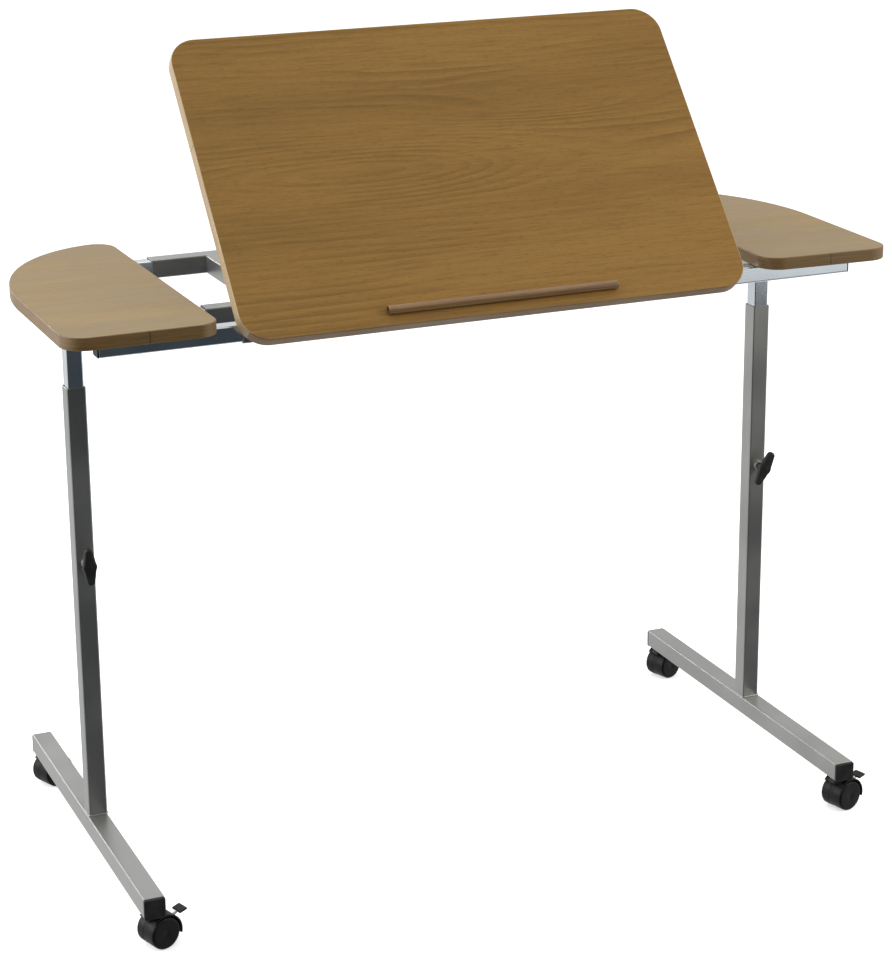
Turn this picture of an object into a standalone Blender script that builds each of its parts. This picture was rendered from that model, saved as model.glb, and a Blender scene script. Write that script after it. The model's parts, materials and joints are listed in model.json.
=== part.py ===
"""Overbed table on two castor legs, with telescopic posts and rails, two fixed leaves and a tilting panel.

Metres, +X to the user's right, +Y away from the user, +Z up, origin on the floor under the middle.
It stands as in use: the posts and the rails are part way out, and the panel is tilted as a book rest.
"""

import math

import bmesh
import bpy
from mathutils import Matrix, Vector

GAP = 0.0003  # kept between pieces that touch

# Square tube: the sliding tube runs inside the outer one.
TUBE = 0.025
INNER = 0.0215
WALL = 0.0012
TUBE_CORNER = 0.003
CORNER_STEPS = 3

# Legs
LEG_X = 0.4908
BASE_TUBE = 0.0265  # a little stouter than the uprights
BASE_LENGTH = 0.5504
BASE_Y = -0.00666  # the middle of the base; the trailing castors reach further back than forward
BASE_TOP = 0.073
POST_Y = BASE_Y - 0.006
UPRIGHT_TOP = 0.658
POST_BOTTOM = 0.140
CAP_HEAD = 0.0036
CAP_PLUG = 0.004
CAP_PLUG_PLAY = 0.0004

# Underframe and leaves
BOARD = 0.016
LEAF_BOTTOM = 0.7655
RAIL_SPREAD = 0.186  # from the posts' plane to a rail's centre line
RAIL_INNER_END = 0.0345
RAIL_OUTER_END = 0.509
RAIL_CAP_HEAD = 0.002
OUTER_RAIL_HALF = 0.331
STRETCHER_HALF = 0.317
CROSSBAR_X = 0.2435
LEAF_INNER_X = 0.369
LEAF_OUTER_X = {"left": 0.5592, "right": 0.5515}
LEAF_FRONT_Y = POST_Y - 0.237
LEAF_BACK_Y = POST_Y + 0.2445
LEAF_SWEEP = (0.181, 0.2585)  # half widths, along X and Y, of the quarter ellipse at the outer back
LEAF_FRONT_RADIUS = 0.031
LEAF_INNER_RADIUS = 0.028
# The right leaf is screwed on slightly askew: turned about its inner front corner, and further back.
LEAF_TURN = {"left": 0.0, "right": math.radians(-2.4)}
LEAF_SHIFT = {"left": 0.0, "right": 0.0085}
WIDTH_SCREW_X = 0.301

RAIL_TOP = LEAF_BOTTOM - GAP
RAIL_Z = RAIL_TOP - INNER / 2
FRAME_TOP = RAIL_Z + TUBE / 2
STRETCHER_Z = RAIL_Z - TUBE - GAP
FRONT_RAIL_Y = POST_Y - RAIL_SPREAD
BACK_RAIL_Y = POST_Y + RAIL_SPREAD

# Tilting panel, drawn flat with its pivot at the origin
PIVOT_Y = FRONT_RAIL_Y - TUBE / 2 - 0.0033
PIVOT_Z = 0.76465
PANEL_TILT = math.radians(49.4)
PANEL_HALF = 0.3412
PANEL_FRONT = -0.0305
PANEL_BACK = 0.393
PANEL_RADIUS = 0.036
PANEL_BOTTOM = FRAME_TOP + 0.0005 - PIVOT_Z
PANEL_TOP = PANEL_BOTTOM + BOARD
STOP_HALF = 0.155
STOP_Y = PANEL_FRONT + 0.0195
STOP_RADIUS = 0.006
STOP_RISE = 0.004

# Panel hinges
HINGE_X = 0.200
HINGE_HALF = 0.025
HINGE_SPLIT = 0.0085
KNUCKLE = 0.0022
HINGE_PIN = 0.0010
HINGE_LEAF = 0.0012
HINGE_CLEAR = 0.0028
HINGE_DROP = 0.0195
HINGE_REACH = 0.023
KNUCKLE_INSET = 0.0002

# Tilt clamp, on the right only
CLAMP_RADIUS = 0.065
CLAMP_DROP = 0.016
CLAMP_SWING = math.radians(60)
BRACKET_X = (0.2605, 0.2635)
QUADRANT_X = (0.2645, 0.2675)
QUADRANT_HALF = 0.010
SLOT_HALF = 0.0034
CLAMP_STUD = 0.003

# Height knobs
KNOB_Z = 0.4270
KNOB_SPAN = 0.0198
KNOB_END = 0.0055
KNOB_MIDDLE = 0.0095
KNOB_BAR = (0.0166, 0.0250)  # from the upright's face to the bar's back and front
KNOB_NUT = 0.006
KNOB_STUD = 0.003
KNOB_LEAN = {"left": math.radians(-2), "right": math.radians(28)}

# Castors
WHEEL = 0.021
WHEEL_FACE = (0.0037, 0.0180)
WHEEL_EDGE = 0.002
CASTOR_TRAIL = 0.0075
HOOD = 0.0250
HOOD_WALL = 0.0022
HOOD_HALF = 0.0172
HOOD_SPAN = (132, -14)  # degrees, from its leading edge over the top to its trailing edge
WEB_HALF = 0.0031
AXLE = 0.0023
CASTOR_NECK = 0.010
CASTOR_STEM = 0.004
STEM_TOP = 0.065
STEM_INSET = 0.0177
CASTORS = {
    "front_left": (-1, -1, math.radians(18)),
    "front_right": (1, -1, math.radians(15.5)),
    "back_left": (-1, 1, math.radians(23)),
    "back_right": (1, 1, math.radians(19)),
}
PEDAL_PIVOT = (0.0095, 0.0055)
PEDAL_PAD = (0.0330, 0.0172)
PEDAL_SLOPE = math.radians(13)

ROUND = 24  # sides of a round piece
SIDES = {"left": -1, "right": 1}

# Which way a drawn section and its length run in the world.
SECTION_AXES = {
    "X": (Vector((0, 1, 0)), Vector((0, 0, 1)), Vector((1, 0, 0))),
    "Y": (Vector((1, 0, 0)), Vector((0, 0, 1)), Vector((0, 1, 0))),
    "Z": (Vector((1, 0, 0)), Vector((0, 1, 0)), Vector((0, 0, 1))),
}


def clear_scene():
    for obj in list(bpy.data.objects):
        bpy.data.objects.remove(obj)


def material(name, color, roughness, metallic=0.0):
    made = bpy.data.materials.new(name)
    made.use_nodes = True
    shader = made.node_tree.nodes["Principled BSDF"]
    shader.inputs["Base Color"].default_value = (*color, 1)
    shader.inputs["Roughness"].default_value = roughness
    shader.inputs["Metallic"].default_value = metallic
    return made


def add_object(name, mesh, finish, parent=None, location=(0, 0, 0), rotation=(0, 0, 0)):
    obj = bpy.data.objects.new(name, mesh)
    bpy.context.scene.collection.objects.link(obj)
    obj.parent = parent
    obj.location = location
    obj.rotation_euler = rotation
    if finish:
        mesh.materials.append(finish)
    return obj


def empty(name, location, rotation=(0, 0, 0), parent=None):
    obj = bpy.data.objects.new(name, None)
    bpy.context.scene.collection.objects.link(obj)
    obj.parent = parent
    obj.location = location
    obj.rotation_euler = rotation
    return obj


def finished_mesh(name, bm):
    bmesh.ops.recalc_face_normals(bm, faces=bm.faces[:])
    mesh = bpy.data.meshes.new(name)
    bm.to_mesh(mesh)
    bm.free()
    mesh.shade_smooth()
    mesh.set_sharp_from_angle(angle=math.radians(35))
    return mesh


# Outlines


def arc(centre, radius, start, end, steps):
    """Points on an arc, both ends included, with angles in degrees."""
    angles = [math.radians(start + (end - start) * i / steps) for i in range(steps + 1)]
    return [(centre[0] + radius * math.cos(a), centre[1] + radius * math.sin(a)) for a in angles]


def rounded_box(low, high, radius, steps=CORNER_STEPS):
    left, bottom = low[0] + radius, low[1] + radius
    right, top = high[0] - radius, high[1] - radius
    return (
        arc((right, top), radius, 0, 90, steps)
        + arc((left, top), radius, 90, 180, steps)
        + arc((left, bottom), radius, 180, 270, steps)
        + arc((right, bottom), radius, 270, 360, steps)
    )


def centred_square(size, radius):
    return rounded_box((-size / 2, -size / 2), (size / 2, size / 2), radius)


# Solids


def ring_of(bm, outline, axis, offset, along):
    across, up, length = SECTION_AXES[axis]
    points = [offset + across * u + up * v + length * along for u, v in outline]
    return [bm.verts.new(point) for point in points]


def bridge(bm, first, second):
    for i in range(len(first)):
        j = (i + 1) % len(first)
        bm.faces.new((first[i], first[j], second[j], second[i]))


def prism(name, outline, axis, low, high, offset=(0, 0, 0)):
    """A solid of this outline between two places along its axis."""
    bm = bmesh.new()
    ends = [ring_of(bm, outline, axis, Vector(offset), along) for along in (low, high)]
    bridge(bm, *ends)
    for end in ends:
        bm.faces.new(end)
    return finished_mesh(name, bm)


def square_tube(name, size, axis, low, high, offset=(0, 0, 0)):
    """A square tube, open at both ends."""
    bm = bmesh.new()
    outer = centred_square(size, TUBE_CORNER)
    inner = centred_square(size - 2 * WALL, TUBE_CORNER - WALL)
    rings = [
        ring_of(bm, outline, axis, Vector(offset), along)
        for outline, along in ((outer, low), (outer, high), (inner, high), (inner, low))
    ]
    for i, ring in enumerate(rings):
        bridge(bm, ring, rings[(i + 1) % 4])
    return finished_mesh(name, bm)


def turned(name, profile, axis, offset=(0, 0, 0), steps=ROUND):
    """A profile of (radius, place along the axis) turned about the axis. It starts and ends on the axis."""
    bm = bmesh.new()
    circle = arc((0, 0), 1, 0, 360 * (steps - 1) / steps, steps - 1)
    rings = []
    for radius, along in profile:
        outline = [(radius * u, radius * v) for u, v in circle] if radius else [(0, 0)]
        rings.append(ring_of(bm, outline, axis, Vector(offset), along))
    for first, second in zip(rings, rings[1:]):
        if len(first) > 1 and len(second) > 1:
            bridge(bm, first, second)
            continue
        tip, circle_ring = (first[0], second) if len(first) == 1 else (second[0], first)
        for i in range(steps):
            bm.faces.new((tip, circle_ring[i], circle_ring[(i + 1) % steps]))
    return finished_mesh(name, bm)


def rod(name, radius, axis, low, high, offset=(0, 0, 0), steps=ROUND):
    return turned(name, [(0, low), (radius, low), (radius, high), (0, high)], axis, offset, steps)


def box(name, low, high):
    outline = [(low[0], low[1]), (high[0], low[1]), (high[0], high[1]), (low[0], high[1])]
    return prism(name, outline, "Z", low[2], high[2])


def combine(target, operation, *meshes):
    """Joins the meshes to the target or cuts them from it. They are drawn in the target's own frame."""
    for mesh in meshes:
        helper = add_object("helper_" + mesh.name, mesh, None, parent=target)
        helper.hide_render = True
        helper.display_type = "WIRE"
        step = target.modifiers.new(mesh.name, "BOOLEAN")
        step.operation = operation
        step.solver = "EXACT"
        step.object = helper


# Sub-parts


def plug_cap(name, finish, size, axis, outer_end, head, inwards):
    """A cap whose head covers a tube's end and whose plug stands in the tube."""
    offset, low = outer_end
    head_end = low + inwards * head
    plug_end = head_end + inwards * (CAP_PLUG + GAP)
    plug_size = size - 2 * WALL - 2 * CAP_PLUG_PLAY
    cap_head = prism(name, centred_square(size, TUBE_CORNER), axis, *sorted((low, head_end)), offset)
    cap = add_object(name, cap_head, finish)
    middle = low + inwards * head / 2
    plug = centred_square(plug_size, TUBE_CORNER - WALL)
    combine(cap, "UNION", prism(name + "_plug", plug, axis, *sorted((middle, plug_end)), offset))


def leg_frame(side, finish):
    """The base tube and the upright welded on it, with the nut for the height knob."""
    x = SIDES[side] * LEG_X
    half = BASE_LENGTH / 2 - CAP_HEAD - GAP
    middle = (x, BASE_Y, BASE_TOP - BASE_TUBE / 2)
    base = square_tube("leg_frame_" + side, BASE_TUBE, "Y", -half, half, middle)
    leg = add_object("leg_frame_" + side, base, finish)
    face = POST_Y - TUBE / 2
    upright = square_tube("upright", TUBE, "Z", BASE_TOP - WALL / 2, UPRIGHT_TOP, (x, POST_Y, 0))
    nut = rod("knob_nut", 0.0066, "Y", face - KNOB_NUT, face + WALL / 2, (x, 0, KNOB_Z))
    combine(leg, "UNION", upright, nut)
    knob_hole = rod("knob_hole", KNOB_STUD + GAP, "Y", face - 0.010, face + 0.005, (x, 0, KNOB_Z))
    combine(leg, "DIFFERENCE", knob_hole)
    stem_y = BASE_LENGTH / 2 - STEM_INSET
    bottom = BASE_TOP - BASE_TUBE
    for y in (BASE_Y - stem_y, BASE_Y + stem_y):
        hole = rod("stem_hole", CASTOR_STEM + GAP, "Z", bottom - 0.002, bottom + 0.004, (x, y, 0))
        combine(leg, "DIFFERENCE", hole)


def base_caps(side, finish):
    for end, inwards in (("front", 1), ("back", -1)):
        offset = (SIDES[side] * LEG_X, BASE_Y, BASE_TOP - BASE_TUBE / 2)
        outer_end = (offset, -inwards * BASE_LENGTH / 2)
        plug_cap(f"base_cap_{end}_{side}", finish, BASE_TUBE, "Y", outer_end, CAP_HEAD, inwards)


def knob_outline():
    """A bar with round ends and a round swelling in the middle, lengthwise along its second axis."""
    return (
        arc((0, KNOB_SPAN), KNOB_END, 10, 170, 8)
        + arc((0, 0), KNOB_MIDDLE, 150, 210, 5)
        + arc((0, -KNOB_SPAN), KNOB_END, 190, 350, 8)
        + arc((0, 0), KNOB_MIDDLE, -30, 30, 5)
    )


def height_knob(side, finish):
    """A wing knob with its stud, drawn at its own centre and leaned by hand as it was left."""
    face = POST_Y - TUBE / 2
    back, front = KNOB_BAR
    name = "height_knob_" + side
    place = (SIDES[side] * LEG_X, face, KNOB_Z)
    bar = prism(name, knob_outline(), "Y", -front, -back)
    knob = add_object(name, bar, finish, location=place, rotation=(0, KNOB_LEAN[side], 0))
    hub_back = -KNOB_NUT - GAP
    hub_front = -back - 0.002
    hub = turned(name + "_hub", [(0, hub_front), (0.0062, hub_front), (0.0050, hub_back), (0, hub_back)], "Y")
    stud_end = (TUBE - INNER) / 2 - GAP
    stud = rod(name + "_stud", KNOB_STUD, "Y", hub_back - 0.002, stud_end)
    combine(knob, "UNION", hub, stud)


def end_frame(side, finish):
    """The sliding rails, the bar that joins them and the post under it, a welded frame at each end."""
    sign = SIDES[side]
    outer, inner = sign * RAIL_OUTER_END, sign * RAIL_INNER_END
    for row, y in (("front", FRONT_RAIL_Y), ("back", BACK_RAIL_Y)):
        name = f"sliding_rail_{row}_{side}"
        rail = square_tube(name, INNER, "X", *sorted((inner, outer)), (0, y, RAIL_Z))
        add_object(name, rail, finish)
    post_face = sign * (LEG_X - INNER / 2 - GAP)
    middle = "sliding_rail_middle_" + side
    rail = square_tube(middle, INNER, "X", *sorted((inner, post_face)), (0, POST_Y, STRETCHER_Z))
    add_object(middle, rail, finish)
    reach = RAIL_SPREAD - INNER / 2 - GAP
    x = sign * LEG_X
    bar = square_tube("end_bar_" + side, INNER, "Y", POST_Y - reach, POST_Y + reach, (x, 0, RAIL_Z))
    add_object("end_bar_" + side, bar, finish)
    post_top = RAIL_Z - INNER / 2 - GAP
    post = square_tube("post_" + side, INNER, "Z", POST_BOTTOM, post_top, (x, POST_Y, 0))
    add_object("post_" + side, post, finish)


def rail_caps(side, finish):
    sign = SIDES[side]
    for row, y in (("front", FRONT_RAIL_Y), ("back", BACK_RAIL_Y)):
        outer_end = ((0, y, RAIL_Z), sign * (RAIL_OUTER_END + GAP + RAIL_CAP_HEAD))
        plug_cap(f"rail_cap_{row}_{side}", finish, INNER, "X", outer_end, RAIL_CAP_HEAD, -sign)


def sweep_point(angle, outer):
    """A point of a right leaf's outer back sweep, and which way the sweep faces there."""
    across, along = LEAF_SWEEP
    facing = math.atan2(across * math.sin(angle), along * math.cos(angle))
    point = (
        outer - across + across * math.cos(angle),
        LEAF_BACK_Y - along + along * math.sin(angle),
    )
    return point, facing


def sweep_end(outer):
    """Where the sweep stops, so that the round of the inner back corner runs on from it without a kink."""
    target = LEAF_INNER_X + LEAF_INNER_RADIUS
    low, high = math.radians(45), math.radians(90)
    for _ in range(40):
        middle = (low + high) / 2
        point, facing = sweep_point(middle, outer)
        if point[0] - LEAF_INNER_RADIUS * math.cos(facing) > target:
            low = middle
        else:
            high = middle
    return low


def leaf_outline(outer):
    """A right leaf: straight along the panel and the front, with a wide sweep round the outer back."""
    inner, front, small = LEAF_INNER_X, LEAF_FRONT_RADIUS, LEAF_INNER_RADIUS
    end = sweep_end(outer)
    sweep = [sweep_point(end * i / 16, outer)[0] for i in range(17)]
    last, facing = sweep_point(end, outer)
    centre = (last[0] - small * math.cos(facing), last[1] - small * math.sin(facing))
    return (
        arc((outer - front, LEAF_FRONT_Y + front), front, 270, 360, 6)
        + sweep
        + arc(centre, small, math.degrees(facing), 180, 5)[1:]
        + arc((inner + small, LEAF_FRONT_Y + small), small, 180, 270, 5)
    )


def side_leaf(side, finish):
    sign = SIDES[side]
    corner = Vector((sign * LEAF_INNER_X, LEAF_FRONT_Y))
    turn = Matrix.Rotation(LEAF_TURN[side], 2)
    moved = corner + Vector((0, LEAF_SHIFT[side]))
    drawn = [Vector((sign * x, y)) for x, y in leaf_outline(LEAF_OUTER_X[side])]
    outline = [tuple(turn @ (point - corner) + moved) for point in drawn]
    name = "side_leaf_" + side
    add_object(name, prism(name, outline, "Z", LEAF_BOTTOM, LEAF_BOTTOM + BOARD), finish)


def centre_frame(finish):
    """The outer rails, the stretcher below them at mid depth and the two bars across, a welded frame."""
    half = OUTER_RAIL_HALF
    for row, y in (("front", FRONT_RAIL_Y), ("back", BACK_RAIL_Y)):
        name = "outer_rail_" + row
        rail = add_object(name, square_tube(name, TUBE, "X", -half, half, (0, y, RAIL_Z)), finish)
        if row == "front":
            continue
        back = y + TUBE / 2
        for sign in SIDES.values():
            place = (sign * WIDTH_SCREW_X, 0, RAIL_Z)
            combine(rail, "DIFFERENCE", rod("screw_hole", 0.0033, "Y", back - 0.003, back + 0.002, place))
    half = STRETCHER_HALF
    stretcher = square_tube("stretcher", TUBE, "X", -half, half, (0, POST_Y, STRETCHER_Z))
    add_object("stretcher", stretcher, finish)
    reach = RAIL_SPREAD - TUBE / 2 - GAP
    for side, sign in SIDES.items():
        name = "crossbar_" + side
        bar = square_tube(name, TUBE, "Y", POST_Y - reach, POST_Y + reach, (sign * CROSSBAR_X, 0, RAIL_Z))
        add_object(name, bar, finish)


def width_screws(finish):
    """A hexagon screw behind the back rail on each side, which clamps the sliding rail."""
    back = BACK_RAIL_Y + TUBE / 2
    tip = BACK_RAIL_Y + INNER / 2 + GAP
    for side, sign in SIDES.items():
        name = "width_screw_" + side
        place = (sign * WIDTH_SCREW_X, 0, RAIL_Z)
        head = rod(name, 0.0055, "Y", back + GAP, back + GAP + 0.006, place, steps=6)
        screw = add_object(name, head, finish)
        combine(screw, "UNION", rod(name + "_shank", 0.003, "Y", tip, back + 0.002, place, steps=12))


def panel_pieces(pivot, wood, metal):
    """The tilting panel and what is screwed to it, drawn flat about the pivot."""
    low, high = (-PANEL_HALF, PANEL_FRONT), (PANEL_HALF, PANEL_BACK)
    board = prism("panel", rounded_box(low, high, PANEL_RADIUS, 6), "Z", PANEL_BOTTOM, PANEL_TOP)
    add_object("panel", board, wood, parent=pivot)
    centre = (STOP_Y, PANEL_TOP + GAP + STOP_RISE)
    flat = math.degrees(math.asin(STOP_RISE / STOP_RADIUS))
    outline = arc(centre, STOP_RADIUS, -flat, 180 + flat, 14)
    add_object("stop_rod", prism("stop_rod", outline, "X", -STOP_HALF, STOP_HALF), wood, parent=pivot)
    for side, sign in SIDES.items():
        panel_hinge_leaf(side, sign * HINGE_X, pivot, metal)


def panel_hinge_leaf(side, middle, pivot, metal):
    """The hinge leaf under the panel, with one knuckle in the middle of its length."""
    name = "hinge_leaf_panel_" + side
    tongue = HINGE_SPLIT - GAP
    outline = [
        (middle - HINGE_HALF, -HINGE_REACH),
        (middle + HINGE_HALF, -HINGE_REACH),
        (middle + HINGE_HALF, -HINGE_CLEAR),
        (middle + tongue, -HINGE_CLEAR),
        (middle + tongue, 0.0004),
        (middle - tongue, 0.0004),
        (middle - tongue, -HINGE_CLEAR),
        (middle - HINGE_HALF, -HINGE_CLEAR),
    ]
    top = PANEL_BOTTOM - GAP
    leaf = add_object(name, prism(name, outline, "Z", top - HINGE_LEAF, top), metal, parent=pivot)
    span = tongue - KNUCKLE_INSET
    combine(leaf, "UNION", rod(name + "_knuckle", KNUCKLE, "X", middle - span, middle + span, steps=16))
    cut_hinge_bore(leaf, middle)


def cut_hinge_bore(leaf, middle, offset=(0, 0, 0)):
    reach = HINGE_HALF + 0.010
    bore = rod(leaf.name + "_bore", HINGE_PIN + GAP, "X", middle - reach, middle + reach, offset, steps=16)
    combine(leaf, "DIFFERENCE", bore)


def clamp_angle():
    """The clamp stud's direction from the pivot, measured up from +Y in the frame and in the flat panel."""
    return -math.asin(CLAMP_DROP / CLAMP_RADIUS)


def tilt_quadrant(pivot, metal):
    """The slotted strip under the panel that slides past the clamp stud as the panel tilts."""
    top = math.degrees(clamp_angle())
    bottom = top - math.degrees(CLAMP_SWING)
    outer, inner = CLAMP_RADIUS + QUADRANT_HALF, CLAMP_RADIUS - QUADRANT_HALF
    strip = arc((0, 0), outer, bottom - 8, top + 15.5, 14) + arc((0, 0), inner, top + 15.5, bottom - 8, 14)
    mesh = prism("tilt_quadrant", strip, "X", *QUADRANT_X)
    quadrant = add_object("tilt_quadrant", mesh, metal, parent=pivot)
    flange_top = PANEL_BOTTOM - GAP
    near = QUADRANT_X[0]
    flange = box("flange", (near, 0.045, flange_top - 0.002), (near + 0.020, 0.095, flange_top))
    combine(quadrant, "UNION", flange)
    low, high = QUADRANT_X[0] - 0.002, QUADRANT_X[1] + 0.002
    slot = (
        arc((0, 0), CLAMP_RADIUS + SLOT_HALF, bottom - 1, top + 1, 14)
        + arc((0, 0), CLAMP_RADIUS - SLOT_HALF, top + 1, bottom - 1, 14)
    )
    ends = []
    for angle in (top + 1, bottom - 1):
        centre = arc((0, 0), CLAMP_RADIUS, angle, angle, 1)[0]
        ends.append(rod("slot_end", SLOT_HALF, "X", low, high, (0, *centre), steps=16))
    combine(quadrant, "DIFFERENCE", prism("slot", slot, "X", low, high), *ends)


def clamp_place():
    return (
        PIVOT_Y + CLAMP_RADIUS * math.cos(clamp_angle()),
        PIVOT_Z + CLAMP_RADIUS * math.sin(clamp_angle()),
    )


def clamp_bracket(finish):
    """The plate welded behind the front rail, with the clamp stud's nut on its inner side."""
    y, z = clamp_place()
    front = FRONT_RAIL_Y + TUBE / 2 + GAP
    outline = rounded_box((front, z - 0.011), (y + 0.012, RAIL_Z + 0.010), 0.003)
    bracket = add_object("clamp_bracket", prism("clamp_bracket", outline, "X", *BRACKET_X), finish)
    nut_near = CROSSBAR_X + TUBE / 2 + 0.001
    nut = rod("clamp_nut", 0.0058, "X", nut_near, BRACKET_X[0] + 0.001, (0, y, z), steps=6)
    combine(bracket, "UNION", nut)
    hole = rod("clamp_hole", CLAMP_STUD + GAP, "X", CROSSBAR_X, BRACKET_X[1] + 0.002, (0, y, z), steps=16)
    combine(bracket, "DIFFERENCE", hole)


def tilt_knob(finish):
    """A round knob with five shallow lobes and its stud, which clamps the quadrant."""
    y, z = clamp_place()
    radii = [0.0138 + 0.0012 * math.cos(math.radians(5 * 9 * i)) for i in range(40)]
    angles = [math.radians(9 * i) for i in range(40)]
    outline = [(radius * math.cos(a), radius * math.sin(a)) for radius, a in zip(radii, angles)]
    grip = QUADRANT_X[1] + 0.0075
    place = (0, y, z)
    mesh = prism("tilt_knob", outline, "X", grip, grip + 0.015)
    knob = add_object("tilt_knob", mesh, finish, location=place)
    near, far = QUADRANT_X[1] + 0.001, grip + 0.002
    hub = turned("tilt_hub", [(0, near), (0.008, near), (0.009, far), (0, far)], "X")
    stud = rod("tilt_stud", CLAMP_STUD, "X", CROSSBAR_X + TUBE / 2 + 0.0013, grip, steps=16)
    combine(knob, "UNION", hub, stud)


def frame_hinge_leaf(side, middle, metal):
    """The hinge leaf on the front rail, with a knuckle at each end, and the pin through all three."""
    name = "hinge_leaf_frame_" + side
    back = FRONT_RAIL_Y - TUBE / 2 - GAP
    low, notch, high = PIVOT_Z - HINGE_DROP, PIVOT_Z - HINGE_CLEAR, PIVOT_Z + 0.0012
    outline = [
        (middle - HINGE_HALF, low),
        (middle + HINGE_HALF, low),
        (middle + HINGE_HALF, high),
        (middle + HINGE_SPLIT, high),
        (middle + HINGE_SPLIT, notch),
        (middle - HINGE_SPLIT, notch),
        (middle - HINGE_SPLIT, high),
        (middle - HINGE_HALF, high),
    ]
    leaf = add_object(name, prism(name, outline, "Y", back - HINGE_LEAF, back), metal)
    place = (0, PIVOT_Y, PIVOT_Z)
    for sign in (-1, 1):
        near = middle + sign * (HINGE_SPLIT + KNUCKLE_INSET)
        far = middle + sign * (HINGE_HALF - KNUCKLE_INSET)
        combine(leaf, "UNION", rod(name + "_knuckle", KNUCKLE, "X", *sorted((near, far)), place, steps=16))
    cut_hinge_bore(leaf, middle, place)
    name = "hinge_pin_" + side
    half = HINGE_HALF + 0.0005
    add_object(name, rod(name, HINGE_PIN, "X", middle - half, middle + half, place, steps=16), metal)


def castor_hood(name, swivel, plastic):
    """The hood over both wheels with the web between them, the neck and the stem that swivels in the base."""
    x, z = CASTOR_TRAIL, WHEEL
    outline = arc((x, z), HOOD, *HOOD_SPAN, 20) + [(x + 0.008, z - 0.009), (x - 0.008, z - 0.009)]
    hood = add_object(name, prism(name, outline, "Y", -HOOD_HALF, HOOD_HALF), plastic, parent=swivel)
    top = BASE_TOP - BASE_TUBE - GAP
    neck = rod(name + "_neck", CASTOR_NECK, "Z", z, top)
    combine(hood, "UNION", neck)
    room = HOOD - HOOD_WALL
    for sign in (-1, 1):
        low, high = sorted((sign * WEB_HALF, sign * (HOOD_HALF + 0.001)))
        combine(hood, "DIFFERENCE", rod(name + "_room", room, "Y", low, high, (x, 0, z)))
    combine(hood, "UNION", rod(name + "_stem", CASTOR_STEM, "Z", top - 0.004, STEM_TOP, steps=16))
    axle_hole = rod(name + "_axle_hole", AXLE + GAP, "Y", -0.006, 0.006, (x, 0, z), steps=16)
    combine(hood, "DIFFERENCE", axle_hole)
    return hood


def castor_wheels(castor, swivel, tyre, steel):
    place = (CASTOR_TRAIL, 0, WHEEL)
    near, far = WHEEL_FACE
    bore = AXLE + GAP
    bore_end = far - 0.0028
    for label, sign in (("a", -1), ("b", 1)):
        profile = [
            (0, far),
            (WHEEL - WHEEL_EDGE, far),
            (WHEEL, far - WHEEL_EDGE),
            (WHEEL, near + WHEEL_EDGE),
            (WHEEL - WHEEL_EDGE, near),
            (bore, near),
            (bore, bore_end),
            (0, bore_end),
        ]
        name = f"{castor}_wheel_{label}"
        profile = [(radius, sign * along) for radius, along in profile]
        add_object(name, turned(name, profile, "Y"), tyre, parent=swivel, location=place)
    name = castor + "_axle"
    half = bore_end - GAP
    add_object(name, rod(name, AXLE, "Y", -half, half, steps=16), steel, parent=swivel, location=place)


def brake_pedal(castor, swivel, hood, plastic):
    """The lever in the hood's slot, with a pad for the foot."""
    place = (CASTOR_TRAIL, 0, WHEEL)
    slot_low = (CASTOR_TRAIL + 0.0045, -0.0016, WHEEL + 0.0008)
    slot_high = (CASTOR_TRAIL + 0.0300, 0.0016, WHEEL + 0.0185)
    combine(hood, "DIFFERENCE", box(castor + "_slot", slot_low, slot_high))
    px, pz = PEDAL_PIVOT
    hole_place = (CASTOR_TRAIL + px, 0, WHEEL + pz)
    pivot_hole = rod(castor + "_pivot_hole", 0.0015, "Y", -0.005, 0.005, hole_place, steps=12)
    combine(hood, "DIFFERENCE", pivot_hole)
    along = Vector((PEDAL_PAD[0] - px, PEDAL_PAD[1] - pz))
    reach = along.length
    turn = math.degrees(math.atan2(along.y, along.x))
    start = arc((px, pz), 0.0025, turn + 90, turn + 270, 6)
    tip = (px + along.x * (reach - 0.002) / reach, pz + along.y * (reach - 0.002) / reach)
    end = arc(tip, 0.0018, turn - 90, turn + 90, 4)
    name = castor + "_pedal"
    mesh = prism(name, start + end, "Y", -0.0012, 0.0012)
    lever = add_object(name, mesh, plastic, parent=swivel, location=place)
    pad_outline = rounded_box((-0.006, -0.0015), (0.006, 0.0015), 0.0012, 2)
    tilt = Matrix.Rotation(PEDAL_SLOPE, 2)
    pad_outline = [tuple(tilt @ Vector(point) + Vector(PEDAL_PAD)) for point in pad_outline]
    pad = prism(name + "_pad", pad_outline, "Y", -0.0085, 0.0085)
    trunnion = rod(name + "_trunnion", 0.0012, "Y", -0.0029, 0.0029, (px, 0, pz), steps=12)
    combine(lever, "UNION", pad, trunnion)


def castor(corner, plastic, tyre, steel):
    sign_x, sign_y, yaw = CASTORS[corner]
    stem_y = BASE_Y + sign_y * (BASE_LENGTH / 2 - STEM_INSET)
    swivel = empty(f"castor_{corner}_swivel", (sign_x * LEG_X, stem_y, 0), (0, 0, yaw))
    name = "castor_" + corner
    hood = castor_hood(name + "_hood", swivel, plastic)
    castor_wheels(name, swivel, tyre, steel)
    if sign_y < 0:
        brake_pedal(name, swivel, hood, plastic)


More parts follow.
